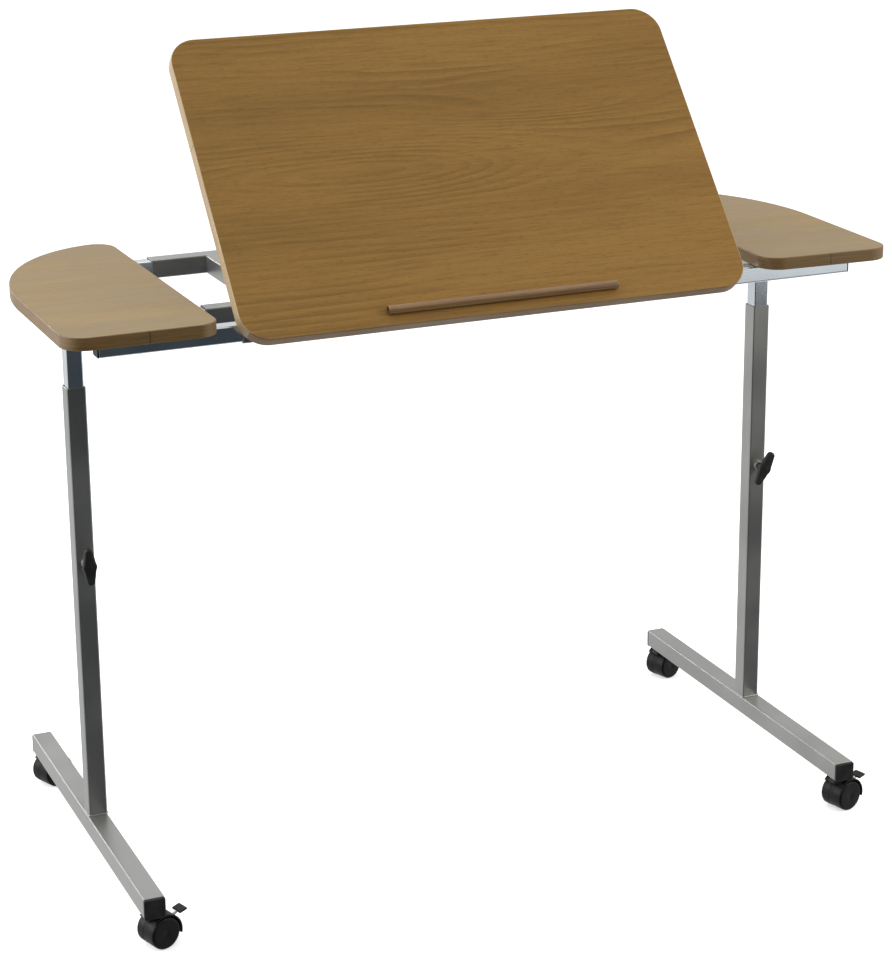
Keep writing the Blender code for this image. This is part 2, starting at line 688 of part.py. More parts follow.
def main():
    clear_scene()
    grey_coat = material("grey_coat", (0.42, 0.42, 0.40), 0.4, 0.3)
    zinc = material("zinc", (0.70, 0.71, 0.72), 0.22, 1.0)
    steel = material("steel", (0.55, 0.55, 0.56), 0.35, 1.0)
    beech = material("beech", (0.42, 0.30, 0.17), 0.45)
    black_plastic = material("black_plastic", (0.02, 0.02, 0.02), 0.4)
    tyre = material("tyre", (0.015, 0.015, 0.015), 0.55)

    centre_frame(grey_coat)
    width_screws(steel)
    for side, sign in SIDES.items():
        frame_hinge_leaf(side, sign * HINGE_X, steel)
    clamp_bracket(grey_coat)
    tilt_knob(black_plastic)
    pivot = empty("panel_pivot", (0, PIVOT_Y, PIVOT_Z), (PANEL_TILT, 0, 0))
    panel_pieces(pivot, beech, steel)
    tilt_quadrant(pivot, steel)
    for side in SIDES:
        end_frame(side, zinc)
        rail_caps(side, black_plastic)
        side_leaf(side, beech)
        leg_frame(side, grey_coat)
        base_caps(side, black_plastic)
        height_knob(side, black_plastic)
    for corner in CASTORS:
        castor(corner, black_plastic, tyre, steel)


main()
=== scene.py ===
"""Looks of the overbed table: coated and plated tubes, wood laminate boards, black castors and knobs.

Metres, +X to the right, +Y to the back, +Z up, the floor at z = 0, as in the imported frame.
"""

import json
import math

import bmesh
import bpy
from mathutils import Matrix, Vector

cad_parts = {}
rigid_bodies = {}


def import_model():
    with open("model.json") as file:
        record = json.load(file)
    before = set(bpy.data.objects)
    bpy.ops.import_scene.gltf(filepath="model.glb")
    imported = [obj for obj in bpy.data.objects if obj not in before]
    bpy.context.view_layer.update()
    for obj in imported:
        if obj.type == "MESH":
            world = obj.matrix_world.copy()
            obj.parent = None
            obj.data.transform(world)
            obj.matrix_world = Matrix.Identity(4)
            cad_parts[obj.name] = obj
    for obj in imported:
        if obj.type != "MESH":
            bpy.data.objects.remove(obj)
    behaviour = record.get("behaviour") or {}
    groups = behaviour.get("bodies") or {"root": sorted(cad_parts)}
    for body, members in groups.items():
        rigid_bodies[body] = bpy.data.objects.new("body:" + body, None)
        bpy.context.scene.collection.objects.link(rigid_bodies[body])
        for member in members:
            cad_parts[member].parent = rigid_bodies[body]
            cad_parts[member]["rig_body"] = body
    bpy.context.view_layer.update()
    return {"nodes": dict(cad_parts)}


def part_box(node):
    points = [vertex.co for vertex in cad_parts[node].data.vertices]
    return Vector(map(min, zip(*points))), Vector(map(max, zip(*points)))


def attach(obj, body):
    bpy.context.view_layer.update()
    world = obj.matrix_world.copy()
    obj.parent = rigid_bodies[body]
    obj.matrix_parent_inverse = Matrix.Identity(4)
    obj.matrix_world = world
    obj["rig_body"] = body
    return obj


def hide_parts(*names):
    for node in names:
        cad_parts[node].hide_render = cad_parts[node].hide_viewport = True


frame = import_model()

SIDES = {"left": -1, "right": 1}
CORNERS = ("front_left", "front_right", "back_left", "back_right")
GAP = 0.0003  # left between neighbouring solids
HINGE_PIN = 0.0010  # radius

# The panel turns about its hinge pins, and rests at this tilt
PANEL_TILT = math.radians(49.4)
pin_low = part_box("hinge_pin_left")[0]
PIVOT = Vector((0.0, pin_low.y + HINGE_PIN, pin_low.z + HINGE_PIN))


# ---- Shader graphs


class Graph:
    """The shader nodes of a material or a world, with short calls to add and link them."""

    def __init__(self, owner):
        owner.use_nodes = True
        self.owner = owner
        self.nodes = owner.node_tree.nodes
        self.links = owner.node_tree.links

    def add(self, kind, inputs=None, **settings):
        node = self.nodes.new(kind)
        for key, value in settings.items():
            setattr(node, key, value)
        for key, value in (inputs or {}).items():
            self.feed(node.inputs[key], value)
        return node

    def feed(self, socket, value):
        """Links an output to the socket, or sets the socket's own value."""
        if isinstance(value, bpy.types.NodeSocket):
            self.links.new(value, socket)
        else:
            socket.default_value = value

    def set(self, **inputs):
        """Feeds the material's own shader."""
        shader = self.nodes["Principled BSDF"]
        for key, value in inputs.items():
            self.feed(shader.inputs[key.replace("_", " ")], value)

    def math(self, operation, first, second=0.0):
        return self.add("ShaderNodeMath", {0: first, 1: second}, operation=operation).outputs[0]

    def times(self, first, second):
        return self.math("MULTIPLY", first, second)

    def object_point(self):
        return self.add("ShaderNodeTexCoord").outputs["Object"]

    def split(self, point):
        return self.add("ShaderNodeSeparateXYZ", {0: point}).outputs

    def scaled(self, point, scale, shift=(0, 0, 0)):
        inputs = {"Vector": point, "Scale": scale, "Location": shift}
        return self.add("ShaderNodeMapping", inputs).outputs[0]

    def noise(self, point, scale=1.0, detail=3.0, roughness=0.5, distortion=0.0):
        inputs = {"Vector": point, "Scale": scale, "Detail": detail, "Roughness": roughness}
        inputs["Distortion"] = distortion
        return self.add("ShaderNodeTexNoise", inputs).outputs["Fac"]

    def between(self, value, low, high, to_low=0.0, to_high=1.0):
        """The value's place between low and high, eased at both ends."""
        inputs = {0: value, 1: low, 2: high, 3: to_low, 4: to_high}
        return self.add("ShaderNodeMapRange", inputs, interpolation_type="SMOOTHSTEP").outputs[0]

    def mix(self, share, first, second):
        inputs = {0: share, 6: self.colour(first), 7: self.colour(second)}
        return self.add("ShaderNodeMix", inputs, data_type="RGBA").outputs[2]

    def colour(self, value):
        return value if isinstance(value, bpy.types.NodeSocket) else (*value, 1)

    def bump(self, height, strength, distance):
        inputs = {"Height": height, "Strength": strength, "Distance": distance}
        return self.add("ShaderNodeBump", inputs).outputs[0]


def material_graph(name):
    return Graph(bpy.data.materials.new(name))


def shade(colour, factor):
    return tuple(factor * channel for channel in colour)


def powder_coat(name, base):
    """A semi-gloss silver-grey coat with orange peel."""
    g = material_graph(name)
    point = g.object_point()
    patches = g.noise(point, 9.0, 2.0)
    specks = g.noise(point, 900.0, 2.0, 0.6)
    toned = g.mix(g.between(patches, 0.35, 0.65), shade(base, 0.86), base)
    toned = g.mix(g.between(specks, 0.60, 0.78, 0.0, 0.25), toned, shade(base, 1.5))
    g.set(Base_Color=toned, Metallic=0.80, Specular_IOR_Level=0.5)
    g.set(Roughness=g.between(patches, 0.3, 0.7, 0.30, 0.38))
    g.set(Normal=g.bump(g.noise(point, 420.0, 3.0), 0.12, 0.0004))
    return g.owner


def plated(name, base):
    """Bright plating on drawn tube, a little clouded and pitted."""
    g = material_graph(name)
    point = g.object_point()
    clouds = g.noise(point, 14.0, 3.0)
    specks = g.noise(point, 260.0, 2.0)
    g.set(Base_Color=g.mix(g.between(clouds, 0.35, 0.7), shade(base, 0.9), base), Metallic=1.0)
    g.set(Roughness=g.between(clouds, 0.3, 0.7, 0.12, 0.22))
    g.set(Normal=g.bump(specks, 0.05, 0.0003))
    return g.owner


def plain_steel(name, base):
    """Zinc-plated steel, with streaks along X."""
    g = material_graph(name)
    point = g.object_point()
    streaks = g.noise(g.scaled(point, (60, 900, 900)), 1.0, 3.0)
    blotches = g.noise(point, 45.0, 3.0)
    g.set(Base_Color=g.mix(g.between(blotches, 0.35, 0.7), shade(base, 0.8), base), Metallic=1.0)
    g.set(Roughness=g.between(streaks, 0.2, 0.8, 0.28, 0.42))
    g.set(Normal=g.bump(streaks, 0.08, 0.0003))
    return g.owner


def moulded(name, base, rough=(0.32, 0.5), grain=700.0, shine=0.45):
    """Black moulded plastic with a fine texture and scuffed tone."""
    g = material_graph(name)
    point = g.object_point()
    clouds = g.noise(point, 60.0, 3.0)
    scuffed = tuple(channel + 0.001 for channel in shade(base, 1.5))
    g.set(Base_Color=g.mix(g.between(clouds, 0.35, 0.7), base, scuffed), Specular_IOR_Level=shine)
    g.set(Roughness=g.between(clouds, 0.3, 0.75, *rough))
    g.set(Normal=g.bump(g.noise(point, grain, 2.0), 0.12, 0.0003))
    return g.owner


# Growth lines of the laminate: lines per metre, then how far they wander and swell, in lines
GROWTH_RATE, GROWTH_WANDER, EYE_SWELL = 95.0, 5.0, 3.6
# Figures in the panel's laminate, across and up its face, and their half sizes
FLAME, FLAME_HALF = (0.045, 0.180), (0.26, 0.042)
FLAME_SLANT, FLAME_WANDER, FLAME_ROUND = 28.0, 0.020, 0.00010
EYE, EYE_HALF = (0.140, 0.258), (0.15, 0.024)
# Noise along and across the grain, per metre
SLOW_GRAIN = (1.6, 8.0, 8.0)
BROAD_GRAIN = (1.6, 11.0, 11.0)
PATCH_GRAIN = (4.0, 34.0, 34.0)
STREAK_GRAIN = (22.0, 400.0, 400.0)
FLECK_GRAIN = (95.0, 640.0, 640.0)
LINE_DEPTH = (0.072, 0.48)  # how strongly the growth lines show, from patch to patch


def bell(g, *scaled_distances):
    """exp of minus the sum of the squares."""
    total = 0.0
    for distance in scaled_distances:
        total = g.math("ADD", g.times(distance, distance), total)
    return g.math("POWER", math.e, g.times(total, -1.0))


def away(g, value, middle, half):
    """The distance from the middle, in half sizes."""
    return g.times(g.math("SUBTRACT", value, middle), 1 / half)


def folded_field(g, x, y, slow):
    """A height field folded along the flame's line, which slants near the flame."""
    wander = g.times(g.math("SUBTRACT", slow, 0.5), FLAME_WANDER)
    dy = g.math("ADD", g.math("SUBTRACT", y, FLAME[1]), wander)
    fold = g.math("SQRT", g.math("ADD", g.times(dy, dy), FLAME_ROUND))
    slant = g.times(g.math("SUBTRACT", x, FLAME[0]), FLAME_SLANT)
    near = bell(g, g.times(dy, 1 / FLAME_HALF[1]), away(g, x, FLAME[0], FLAME_HALF[0]))
    return g.math("ADD", g.times(fold, GROWTH_RATE), g.times(slant, near))


def growth_lines(g, x, y, slow, figured):
    """Contours of a height field that runs along X; figured, it folds at a flame and swells at an eye."""
    if figured:
        swell = bell(g, away(g, x, EYE[0], EYE_HALF[0]), away(g, y, EYE[1], EYE_HALF[1]))
        field = g.math("ADD", folded_field(g, x, y, slow), g.times(swell, EYE_SWELL))
    else:
        field = g.times(y, GROWTH_RATE)
    saw = g.math("FRACT", g.math("ADD", field, g.times(slow, GROWTH_WANDER)))
    return g.times(g.between(saw, 0.10, 0.92), g.between(saw, 0.92, 1.0, 1.0, 0.0))


def laminate(name, tones, seed, gloss, figured=False, rough=(0.38, 0.48)):
    """Printed beech laminate with its grain along X, in three tones from light to dark."""
    light, mid, dark = tones
    g = material_graph(name)
    point = g.object_point()
    x, y, _ = g.split(point)
    slow = g.noise(g.scaled(point, SLOW_GRAIN, (seed + 3, seed, 0)), 1.0, 3.0, 0.5, 0.2)
    patchy = g.noise(g.scaled(point, PATCH_GRAIN, (seed, 0, 0)), 1.0, 2.0)
    streaks = g.noise(g.scaled(point, STREAK_GRAIN, (seed, 0, 0)), 1.0, 4.0, 0.65)
    flecks = g.noise(g.scaled(point, FLECK_GRAIN, (0, seed, 0)), 1.0, 2.0, 0.6)
    broad = g.noise(g.scaled(point, BROAD_GRAIN, (0, seed, seed)), 1.0, 2.0)
    tone = g.mix(g.between(broad, 0.32, 0.68), mid, light)
    strength = g.between(patchy, 0.35, 0.70, *LINE_DEPTH)
    tone = g.mix(g.times(growth_lines(g, x, y, slow, figured), strength), tone, dark)
    tone = g.mix(g.between(streaks, 0.46, 0.74, 0.0, 0.40), tone, dark)
    tone = g.mix(g.between(streaks, 0.44, 0.26, 0.0, 0.35), tone, shade(light, 1.25))
    tone = g.mix(g.between(flecks, 0.54, 0.76, 0.0, 0.58), tone, dark)
    g.set(Base_Color=tone, Specular_IOR_Level=gloss, Roughness=g.between(broad, 0.3, 0.7, *rough))
    height = g.math("ADD", g.times(streaks, 0.5), g.times(flecks, -0.6))
    g.set(Normal=g.bump(height, 0.10, 0.0003))
    return g.owner


def edge_band(name, tones, seam, seam_axis=0):
    """The glued edge strip in its two tones, with the butt of its ends as a thin dark line."""
    light, dark = tones
    g = material_graph(name)
    point = g.object_point()
    streaks = g.noise(g.scaled(point, (16.0, 16.0, 700.0)), 1.0, 3.0, 0.6)
    cloud = g.noise(point, 12.0, 2.0)
    tone = g.mix(g.between(streaks, 0.35, 0.75), light, dark)
    tone = g.mix(g.between(cloud, 0.35, 0.7, 0.0, 0.3), tone, dark)
    distance = g.math("ABSOLUTE", g.math("SUBTRACT", g.split(point)[seam_axis], seam))
    tone = g.mix(g.between(distance, 0.0003, 0.0008, 0.8, 0.0), tone, shade(dark, 0.25))
    g.set(Base_Color=tone, Roughness=g.between(cloud, 0.3, 0.7, 0.38, 0.5))
    g.set(Normal=g.bump(streaks, 0.06, 0.0003))
    return g.owner


def backing_sheet(name, base):
    """The plain paper sheet under a board."""
    g = material_graph(name)
    point = g.object_point()
    fibres = g.noise(g.scaled(point, (40, 300, 300)), 1.0, 3.0)
    cloud = g.noise(point, 7.0, 2.0)
    tone = g.mix(g.between(cloud, 0.3, 0.7), shade(base, 0.85), base)
    tone = g.mix(g.between(fibres, 0.5, 0.8, 0.0, 0.25), tone, shade(base, 0.6))
    g.set(Base_Color=tone, Roughness=g.between(fibres, 0.3, 0.7, 0.5, 0.62))
    g.set(Normal=g.bump(fibres, 0.08, 0.0003))
    return g.owner


# ---- Mesh helpers


def arc(centre, radius, start, end, steps):
    """Points from one angle to another, in degrees."""
    angles = [math.radians(start + (end - start) * i / steps) for i in range(steps + 1)]
    return [(centre[0] + radius * math.cos(a), centre[1] + radius * math.sin(a)) for a in angles]


def ring(radius, steps):
    """Points all round the origin."""
    angles = [math.tau * i / steps for i in range(steps)]
    return [(radius * math.cos(a), radius * math.sin(a)) for a in angles]


def rounded_box(low, high, radius, steps=6):
    """A rectangle between two corners, with its corners rounded."""
    left, bottom = low[0] + radius, low[1] + radius
    right, top = high[0] - radius, high[1] - radius
    return (
        arc((right, top), radius, 0, 90, steps)
        + arc((left, top), radius, 90, 180, steps)
        + arc((left, bottom), radius, 180, 270, steps)
        + arc((right, bottom), radius, 270, 360, steps)
    )


def shrunk(outline, insets):
    """The outline moved inwards by one distance, or by one for each point. It runs counter-clockwise."""
    if not isinstance(insets, list):
        insets = [insets] * len(outline)
    moved = []
    for i, ((x, y), inset) in enumerate(zip(outline, insets)):
        before, after = Vector(outline[i - 1]), Vector(outline[(i + 1) % len(outline)])
        along = (after - before).normalized()
        moved.append((x - along.y * inset, y + along.x * inset))
    return moved


def no_doubles(outline):
    """The outline without points that fall on the one before."""
    kept = []
    for point in outline:
        if not kept or (Vector(point) - Vector(kept[-1])).length > 1e-6:
            kept.append(point)
    if (Vector(kept[0]) - Vector(kept[-1])).length < 1e-6:
        kept.pop()
    return kept


# These turn (u, v, place), so that the places run along the axis
AXES = {
    "X": Matrix(((0, 0, 1), (1, 0, 0), (0, 1, 0))),
    "Y": Matrix(((1, 0, 0), (0, 0, 1), (0, 1, 0))),
    "Z": Matrix.Identity(3),
}


def new_loop(bm, outline, place, axis, offset):
    """Vertices round an outline that stands at a place along the axis."""
    return [bm.verts.new(AXES[axis] @ Vector((u, v, place)) + Vector(offset)) for u, v in outline]


def bridge(bm, first, second, index=0):
    """Faces between two loops of as many vertices; a loop of one vertex makes a fan."""
    steps = max(len(first), len(second))
    for i in range(steps):
        j = (i + 1) % steps
        if len(first) == 1:
            corners = (first[0], second[j], second[i])
        elif len(second) == 1:
            corners = (first[i], first[j], second[0])
        else:
            corners = (first[i], first[j], second[j], second[i])
        bm.faces.new(corners).material_index = index


def loft(bm, rings, axis="Z", offset=(0, 0, 0), index=0, capped=True):
    """Faces between rings of (outline, place), which are capped at both ends or else run round."""
    loops = [new_loop(bm, outline, place, axis, offset) for outline, place in rings]
    for first, second in zip(loops, loops[1:]):
        bridge(bm, first, second, index)
    if not capped:
        bridge(bm, loops[-1], loops[0], index)
        return []
    ends = [bm.faces.new(loops[0][::-1]), bm.faces.new(loops[-1])]
    for end in ends:
        end.material_index = index
    return ends


def plate(bm, outline, axis, low, high, ease=0.0002, offset=(0, 0, 0), index=0):
    """A flat plate with eased edges."""
    small = shrunk(outline, ease)
    rings = [(small, low), (outline, low + ease), (outline, high - ease), (small, high)]
    loft(bm, rings, axis, offset, index)


def turned(bm, profile, axis="Z", offset=(0, 0, 0), steps=48, index=0):
    """A profile of (radius, place) turned about an axis, closed where the radius is 0."""
    loops = []
    for radius, place in profile:
        outline = ring(radius, steps) if radius else [(0, 0)]
        loops.append(new_loop(bm, outline, place, axis, offset))
    for first, second in zip(loops, loops[1:]):
        bridge(bm, first, second, index)


def outwards(face, profile):
    """A profile of (radius, distance) in front of a face that looks towards the user."""
    return [(radius, face - distance) for radius, distance in profile]


def add_object(name, data):
    obj = bpy.data.objects.new(name, data)
    bpy.context.scene.collection.objects.link(obj)
    return obj


def body_of(node):
    return frame["nodes"][node]["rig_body"]


def add_piece(name, bm, materials, nodes=(), matrix=None, body=None, sharp=40):
    """Makes the mesh a piece that stands for these CAD nodes and rides on their body, or on another."""
    bmesh.ops.recalc_face_normals(bm, faces=bm.faces[:])
    mesh = bpy.data.meshes.new(name)
    bm.to_mesh(mesh)
    bm.free()
    for material in materials:
        mesh.materials.append(material)
    mesh.shade_smooth()
    mesh.set_sharp_from_angle(angle=math.radians(sharp))
    obj = add_object(name, mesh)
    if matrix:
        obj.matrix_world = matrix
    weighted = obj.modifiers.new("flat_faces", "WEIGHTED_NORMAL")
    weighted.keep_sharp = True
    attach(obj, body or body_of(nodes[0]))
    if nodes:
        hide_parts(*nodes)


# ---- Sizes shared by the pieces


def centre_of(node):
    low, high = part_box(node)
    return (low + high) / 2


TUBE = 0.025
TUBE_WALL = 0.0012
TUBE_CORNER = 0.0024
END_EASE = 0.0003

LEG_X = centre_of("post_right").x
POST_Y = centre_of("post_right").y
UPRIGHT_FRONT = POST_Y - TUBE / 2
KNOB_Z = 0.4270
BASE_TOP = 0.073
# The base tubes look a little stouter than the uprights
BASE_SECTION = {
    "left": ((-0.0152, -0.0145), (0.0125, 0.0125)),
    "right": ((-0.0138, -0.0130), (0.0140, 0.0125)),
}
RAIL_Z = centre_of("outer_rail_front").z
FRONT_RAIL_Y = centre_of("outer_rail_front").y
BACK_RAIL_Y = centre_of("outer_rail_back").y


# ---- Tubes and their welds


def square(size):
    """The two corners of a square section about its middle."""
    return (-size / 2, -size / 2), (size / 2, size / 2)


def tube_rings(section, low, high):
    """Outlines of an open tube with eased ends, outside first and then back through the inside."""
    outer = rounded_box(*section, TUBE_CORNER)
    inner = shrunk(outer, TUBE_WALL)
    eased = shrunk(outer, END_EASE)
    widened = shrunk(inner, -END_EASE)
    return [
        (eased, low),
        (outer, low + END_EASE),
        (outer, high - END_EASE),
        (eased, high),
        (widened, high),
        (inner, high - END_EASE),
        (inner, low + END_EASE),
        (widened, low),
    ]


def tube(bm, section, axis, low, high, centre):
    offset = Vector(centre)
    offset["XYZ".index(axis)] = 0
    loft(bm, tube_rings(section, low, high), axis, offset, capped=False)


def dress_tube(node, axis, material):
    """A finer tube in place of a CAD tube, of the same size."""
    low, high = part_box(node)
    along = "XYZ".index(axis)
    across = "XYZ".index({"X": "Y", "Y": "X", "Z": "X"}[axis])
    bm = bmesh.new()
    tube(bm, square(high[across] - low[across]), axis, low[along], high[along], centre_of(node))
    add_piece(node + "_tube", bm, [material], [node])


WELD_RADIUS, CROSSBAR_WELD_RADIUS = 0.0013, 0.0010
WELD_CORNER = 0.0032
WELD_STEPS, WELD_SIDES = 14, 10  # along a straight side, and round the bead
# (share of the radius, radians from point to point) of the ripples in a bead
WELD_RIPPLES = ((0.22, 1.9), (0.08, 5.3))

# (radius, distance in front of the upright) of the nut that is welded on for the height knob
KNOB_NUT = ((0, 0.0060), (0.0056, 0.0060), (0.0064, 0.0052), (0.0066, -0.0002), (0, -0.0002))


def square_path(half):
    """A rounded square with points along its straight sides too."""
    corners = rounded_box((-half, -half), (half, half), WELD_CORNER, 4)
    path = []
    for i, point in enumerate(corners):
        path.append(point)
        gap = Vector(corners[(i + 1) % len(corners)]) - Vector(point)
        if gap.length > 2 * WELD_CORNER:
            path += [tuple(Vector(point) + gap * k / WELD_STEPS) for k in range(1, WELD_STEPS)]
    return path


def weld_bead(name, body, material, centre, axis, half_width, radius=WELD_RADIUS):
    """A rippled bead of weld round a square tube's foot."""
    path = square_path(half_width)
    bead = []
    for i in range(len(path)):
        bead.append(radius * (1 + sum(depth * math.sin(rate * i) for depth, rate in WELD_RIPPLES)))
    rings = []
    for angle in [math.tau * k / WELD_SIDES for k in range(WELD_SIDES)]:
        outline = shrunk(path, [-thick * math.cos(angle) for thick in bead])
        rings.append((outline, radius * math.sin(angle)))
    bm = bmesh.new()
    loft(bm, rings, axis, centre, capped=False)
    add_piece(name, bm, [material], body=body, sharp=80)


def leg(side, coat):
    """The base tube, the upright and the nut for the height knob, one welded frame."""
    node = "leg_frame_" + side
    low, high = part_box(node)
    x = SIDES[side] * LEG_X
    bm = bmesh.new()
    tube(bm, BASE_SECTION[side], "Y", low.y, high.y, (x, 0, BASE_TOP - TUBE / 2))
    tube(bm, square(TUBE), "Z", BASE_TOP - 0.0005, high.z, (x, POST_Y, 0))
    turned(bm, outwards(UPRIGHT_FRONT, KNOB_NUT), "Y", (x, 0, KNOB_Z), 32)
    add_piece("leg_" + side, bm, [coat], [node])
    foot = (x, POST_Y, BASE_TOP + 0.0004)
    weld_bead("leg_weld_" + side, body_of(node), coat, foot, "Z", TUBE / 2)


def welds(coat):
    """Beads where the bars across meet the outer rails."""
    reach = POST_Y - FRONT_RAIL_Y - TUBE / 2 - 0.0006
    half = TUBE / 2 - 0.0009
    for side in SIDES:
        x = centre_of("crossbar_" + side).x
        for row, way in (("front", -1), ("back", 1)):
            name = f"crossbar_weld_{row}_{side}"
            place = (x, POST_Y + way * reach, RAIL_Z)
            weld_bead(name, "table_frame", coat, place, "Y", half, CROSSBAR_WELD_RADIUS)


# ---- End caps

CAP_SHOULDER = {"Y": 0.0036, "X": 0.0020}  # from the cap's crowned face to the tube's end
# (inset, depth) down the crowned face, and the inset of the plug inside the tube
CAP_HEAD = ((0.0020, 0.0), (0.0011, 0.00015), (0.0004, 0.0005), (0.0, 0.0011))
PLUG_INSET = 0.0018


def cap(node, axis, inwards, section, plastic):
    """A plug cap with a crowned head, which stands at the end of a tube."""
    low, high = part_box(node)
    along = "XYZ".index(axis)
    head = CAP_SHOULDER[axis]
    face = low[along] if inwards > 0 else high[along]
    length = high[along] - low[along]
    outline = rounded_box(*section, TUBE_CORNER)
    profile = [*CAP_HEAD, (0.0, head), (PLUG_INSET, head), (PLUG_INSET, length)]
    rings = [(shrunk(outline, inset), face + inwards * depth) for inset, depth in profile]
    offset = centre_of(node)
    offset[along] = 0
    bm = bmesh.new()
    loft(bm, rings, axis, offset)
    add_piece(node + "_plug", bm, [plastic], [node])


def caps(plastic):
    for side, sign in SIDES.items():
        cap("base_cap_front_" + side, "Y", 1, BASE_SECTION[side], plastic)
        cap("base_cap_back_" + side, "Y", -1, BASE_SECTION[side], plastic)
        for row in ("front", "back"):
            node = f"rail_cap_{row}_{side}"
            size = 2 * (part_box(node)[1].y - centre_of(node).y)
            cap(node, "X", -sign, square(size), plastic)


# ---- Boards

LEAF_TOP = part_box("side_leaf_left")[1].z
BOARD = 0.016
LEAF_INNER_X = 0.369
LEAF_OUTER_X = {"left": 0.5592, "right": 0.5515}
LEAF_FRONT_Y, LEAF_BACK_Y = POST_Y - 0.237, POST_Y + 0.2445
LEAF_SWEEP = (0.181, 0.2585)  # half widths of the quarter ellipse at the outer back
LEAF_FRONT_RADIUS, LEAF_INNER_RADIUS = 0.031, 0.028
# The right leaf is screwed on slightly askew
LEAF_TURN = {"left": 0.0, "right": math.radians(-2.4)}
LEAF_SHIFT = {"left": 0.0, "right": 0.0085}

PANEL_HALF = 0.3412
PANEL_FRONT, PANEL_BACK = -0.0305, 0.393
PANEL_RADIUS = 0.036
PANEL_BOTTOM = RAIL_Z + TUBE / 2 + 0.0005 - PIVOT.z
PANEL_TOP = PANEL_BOTTOM + BOARD

# (inset, height above the bottom) up a board's side; the laminate begins inside the upper round
BOARD_SIDE = (
    (0.0009, 0.0), (0.0003, 0.0002), (0.0, 0.0008), (0.0, 0.0146), (0.0002, 0.0152),
    (0.0006, 0.0157), (0.0012, 0.0160),
)
FRONT_BAND_REACH = 0.012  # how far back from the front edge its own band goes
TOP, SIDE, UNDER, FRONT = range(4)


def board(name, outline, bottom, materials, node, matrix=None):
    """A board in its materials: laminate, edge band, backing, and maybe another band for the front."""
    bm = bmesh.new()
    rings = [(shrunk(outline, inset), bottom + height) for inset, height in BOARD_SIDE]
    lower, upper = loft(bm, rings, index=SIDE)
    upper.material_index = TOP
    lower.material_index = UNDER
    if len(materials) > FRONT:
        limit = min(y for _, y in outline) + FRONT_BAND_REACH
        for face in bm.faces:
            if face.material_index == SIDE and face.calc_center_median().y < limit:
                face.material_index = FRONT
    add_piece(name, bm, materials, [node], matrix, sharp=60)


def sweep_point(angle, outer):
    """A point of a right leaf's outer back sweep, and which way the sweep faces there."""
    across, along = LEAF_SWEEP
    facing = math.atan2(across * math.sin(angle), along * math.cos(angle))
    x = outer - across + across * math.cos(angle)
    y = LEAF_BACK_Y - along + along * math.sin(angle)
    return (x, y), facing


def sweep_end(outer):
    """Where the sweep stops, so that the round of the inner back corner runs on from it without a kink."""
    low, high = math.radians(45), math.radians(90)
    for _ in range(40):
        middle = (low + high) / 2
        point, facing = sweep_point(middle, outer)
        beyond = point[0] - LEAF_INNER_RADIUS * math.cos(facing) > LEAF_INNER_X + LEAF_INNER_RADIUS
        low, high = (middle, high) if beyond else (low, middle)
    return low


def leaf_outline(side):
    """The outline, counter-clockwise: straight along the panel and the front, swept at the outer back."""
    outer, front, small = LEAF_OUTER_X[side], LEAF_FRONT_RADIUS, LEAF_INNER_RADIUS
    end = sweep_end(outer)
    last, facing = sweep_point(end, outer)
    centre = (last[0] - small * math.cos(facing), last[1] - small * math.sin(facing))
    outline = (
        arc((outer - front, LEAF_FRONT_Y + front), front, 270, 360, 16)
        + [sweep_point(end * i / 56, outer)[0] for i in range(57)]
        + arc(centre, small, math.degrees(facing), 180, 14)[1:]
        + arc((LEAF_INNER_X + small, LEAF_FRONT_Y + small), small, 180, 270, 14)
    )
    sign = SIDES[side]
    corner = Vector((sign * LEAF_INNER_X, LEAF_FRONT_Y))
    moved = corner + Vector((0, LEAF_SHIFT[side]))
    turn = Matrix.Rotation(LEAF_TURN[side], 2)
    outline = [tuple(turn @ (Vector((sign * x, y)) - corner) + moved) for x, y in outline]
    return no_doubles(outline if sign > 0 else outline[::-1])


def leaves(wood, backing, bands):
    for side in SIDES:
        materials = [wood, bands["leaf_" + side], backing]
        outline, node = leaf_outline(side), "side_leaf_" + side
        board("leaf_board_" + side, outline, LEAF_TOP - BOARD, materials, node)


def panel_matrix():
    return Matrix.Translation(PIVOT) @ Matrix.Rotation(PANEL_TILT, 4, "X")


def panel(wood, backing, bands):
    outline = rounded_box((-PANEL_HALF, PANEL_FRONT), (PANEL_HALF, PANEL_BACK), PANEL_RADIUS, 18)
    # The panel's sides take the band painted lighter for the light on them; its front keeps a darker band
    # of its own
    materials = [wood, bands["panel"], backing, bands["panel_front"]]
    board("panel_board", outline, PANEL_BOTTOM, materials, "panel", panel_matrix())


STOP_HALF = 0.155
STOP_Y = PANEL_FRONT + 0.0195
STOP_RADIUS, STOP_RISE = 0.006, 0.004
STOP_EASE = ((0.0016, 0.0), (0.0006, 0.0003), (0.0, 0.0012))  # (inset, depth) at its ends


def stop_rod(wood, end_grain_and_shade):
    """The half-round rod that keeps a book on the tilted panel, with eased ends."""
    centre = (STOP_Y, PANEL_TOP + GAP + STOP_RISE)
    flat = math.degrees(math.asin(STOP_RISE / STOP_RADIUS))
    outline = arc(centre, STOP_RADIUS, -flat, 180 + flat, 28)
    rings = [(shrunk(outline, inset), -STOP_HALF + depth) for inset, depth in STOP_EASE]
    rings += [(shrunk(outline, inset), STOP_HALF - depth) for inset, depth in reversed(STOP_EASE)]
    bm = bmesh.new()
    # The end faces take a very dark colour: end grain, darkened further as painted shade
    for end in loft(bm, rings, "X"):
        end.material_index = 1
    materials, matrix = [wood, end_grain_and_shade], panel_matrix()
    add_piece("book_stop", bm, materials, ["stop_rod"], matrix)


# ---- Knobs

KNOB_SPAN, KNOB_END, KNOB_MIDDLE = 0.0198, 0.0055, 0.0095
KNOB_LEAN = {"left": math.radians(-2), "right": math.radians(28)}
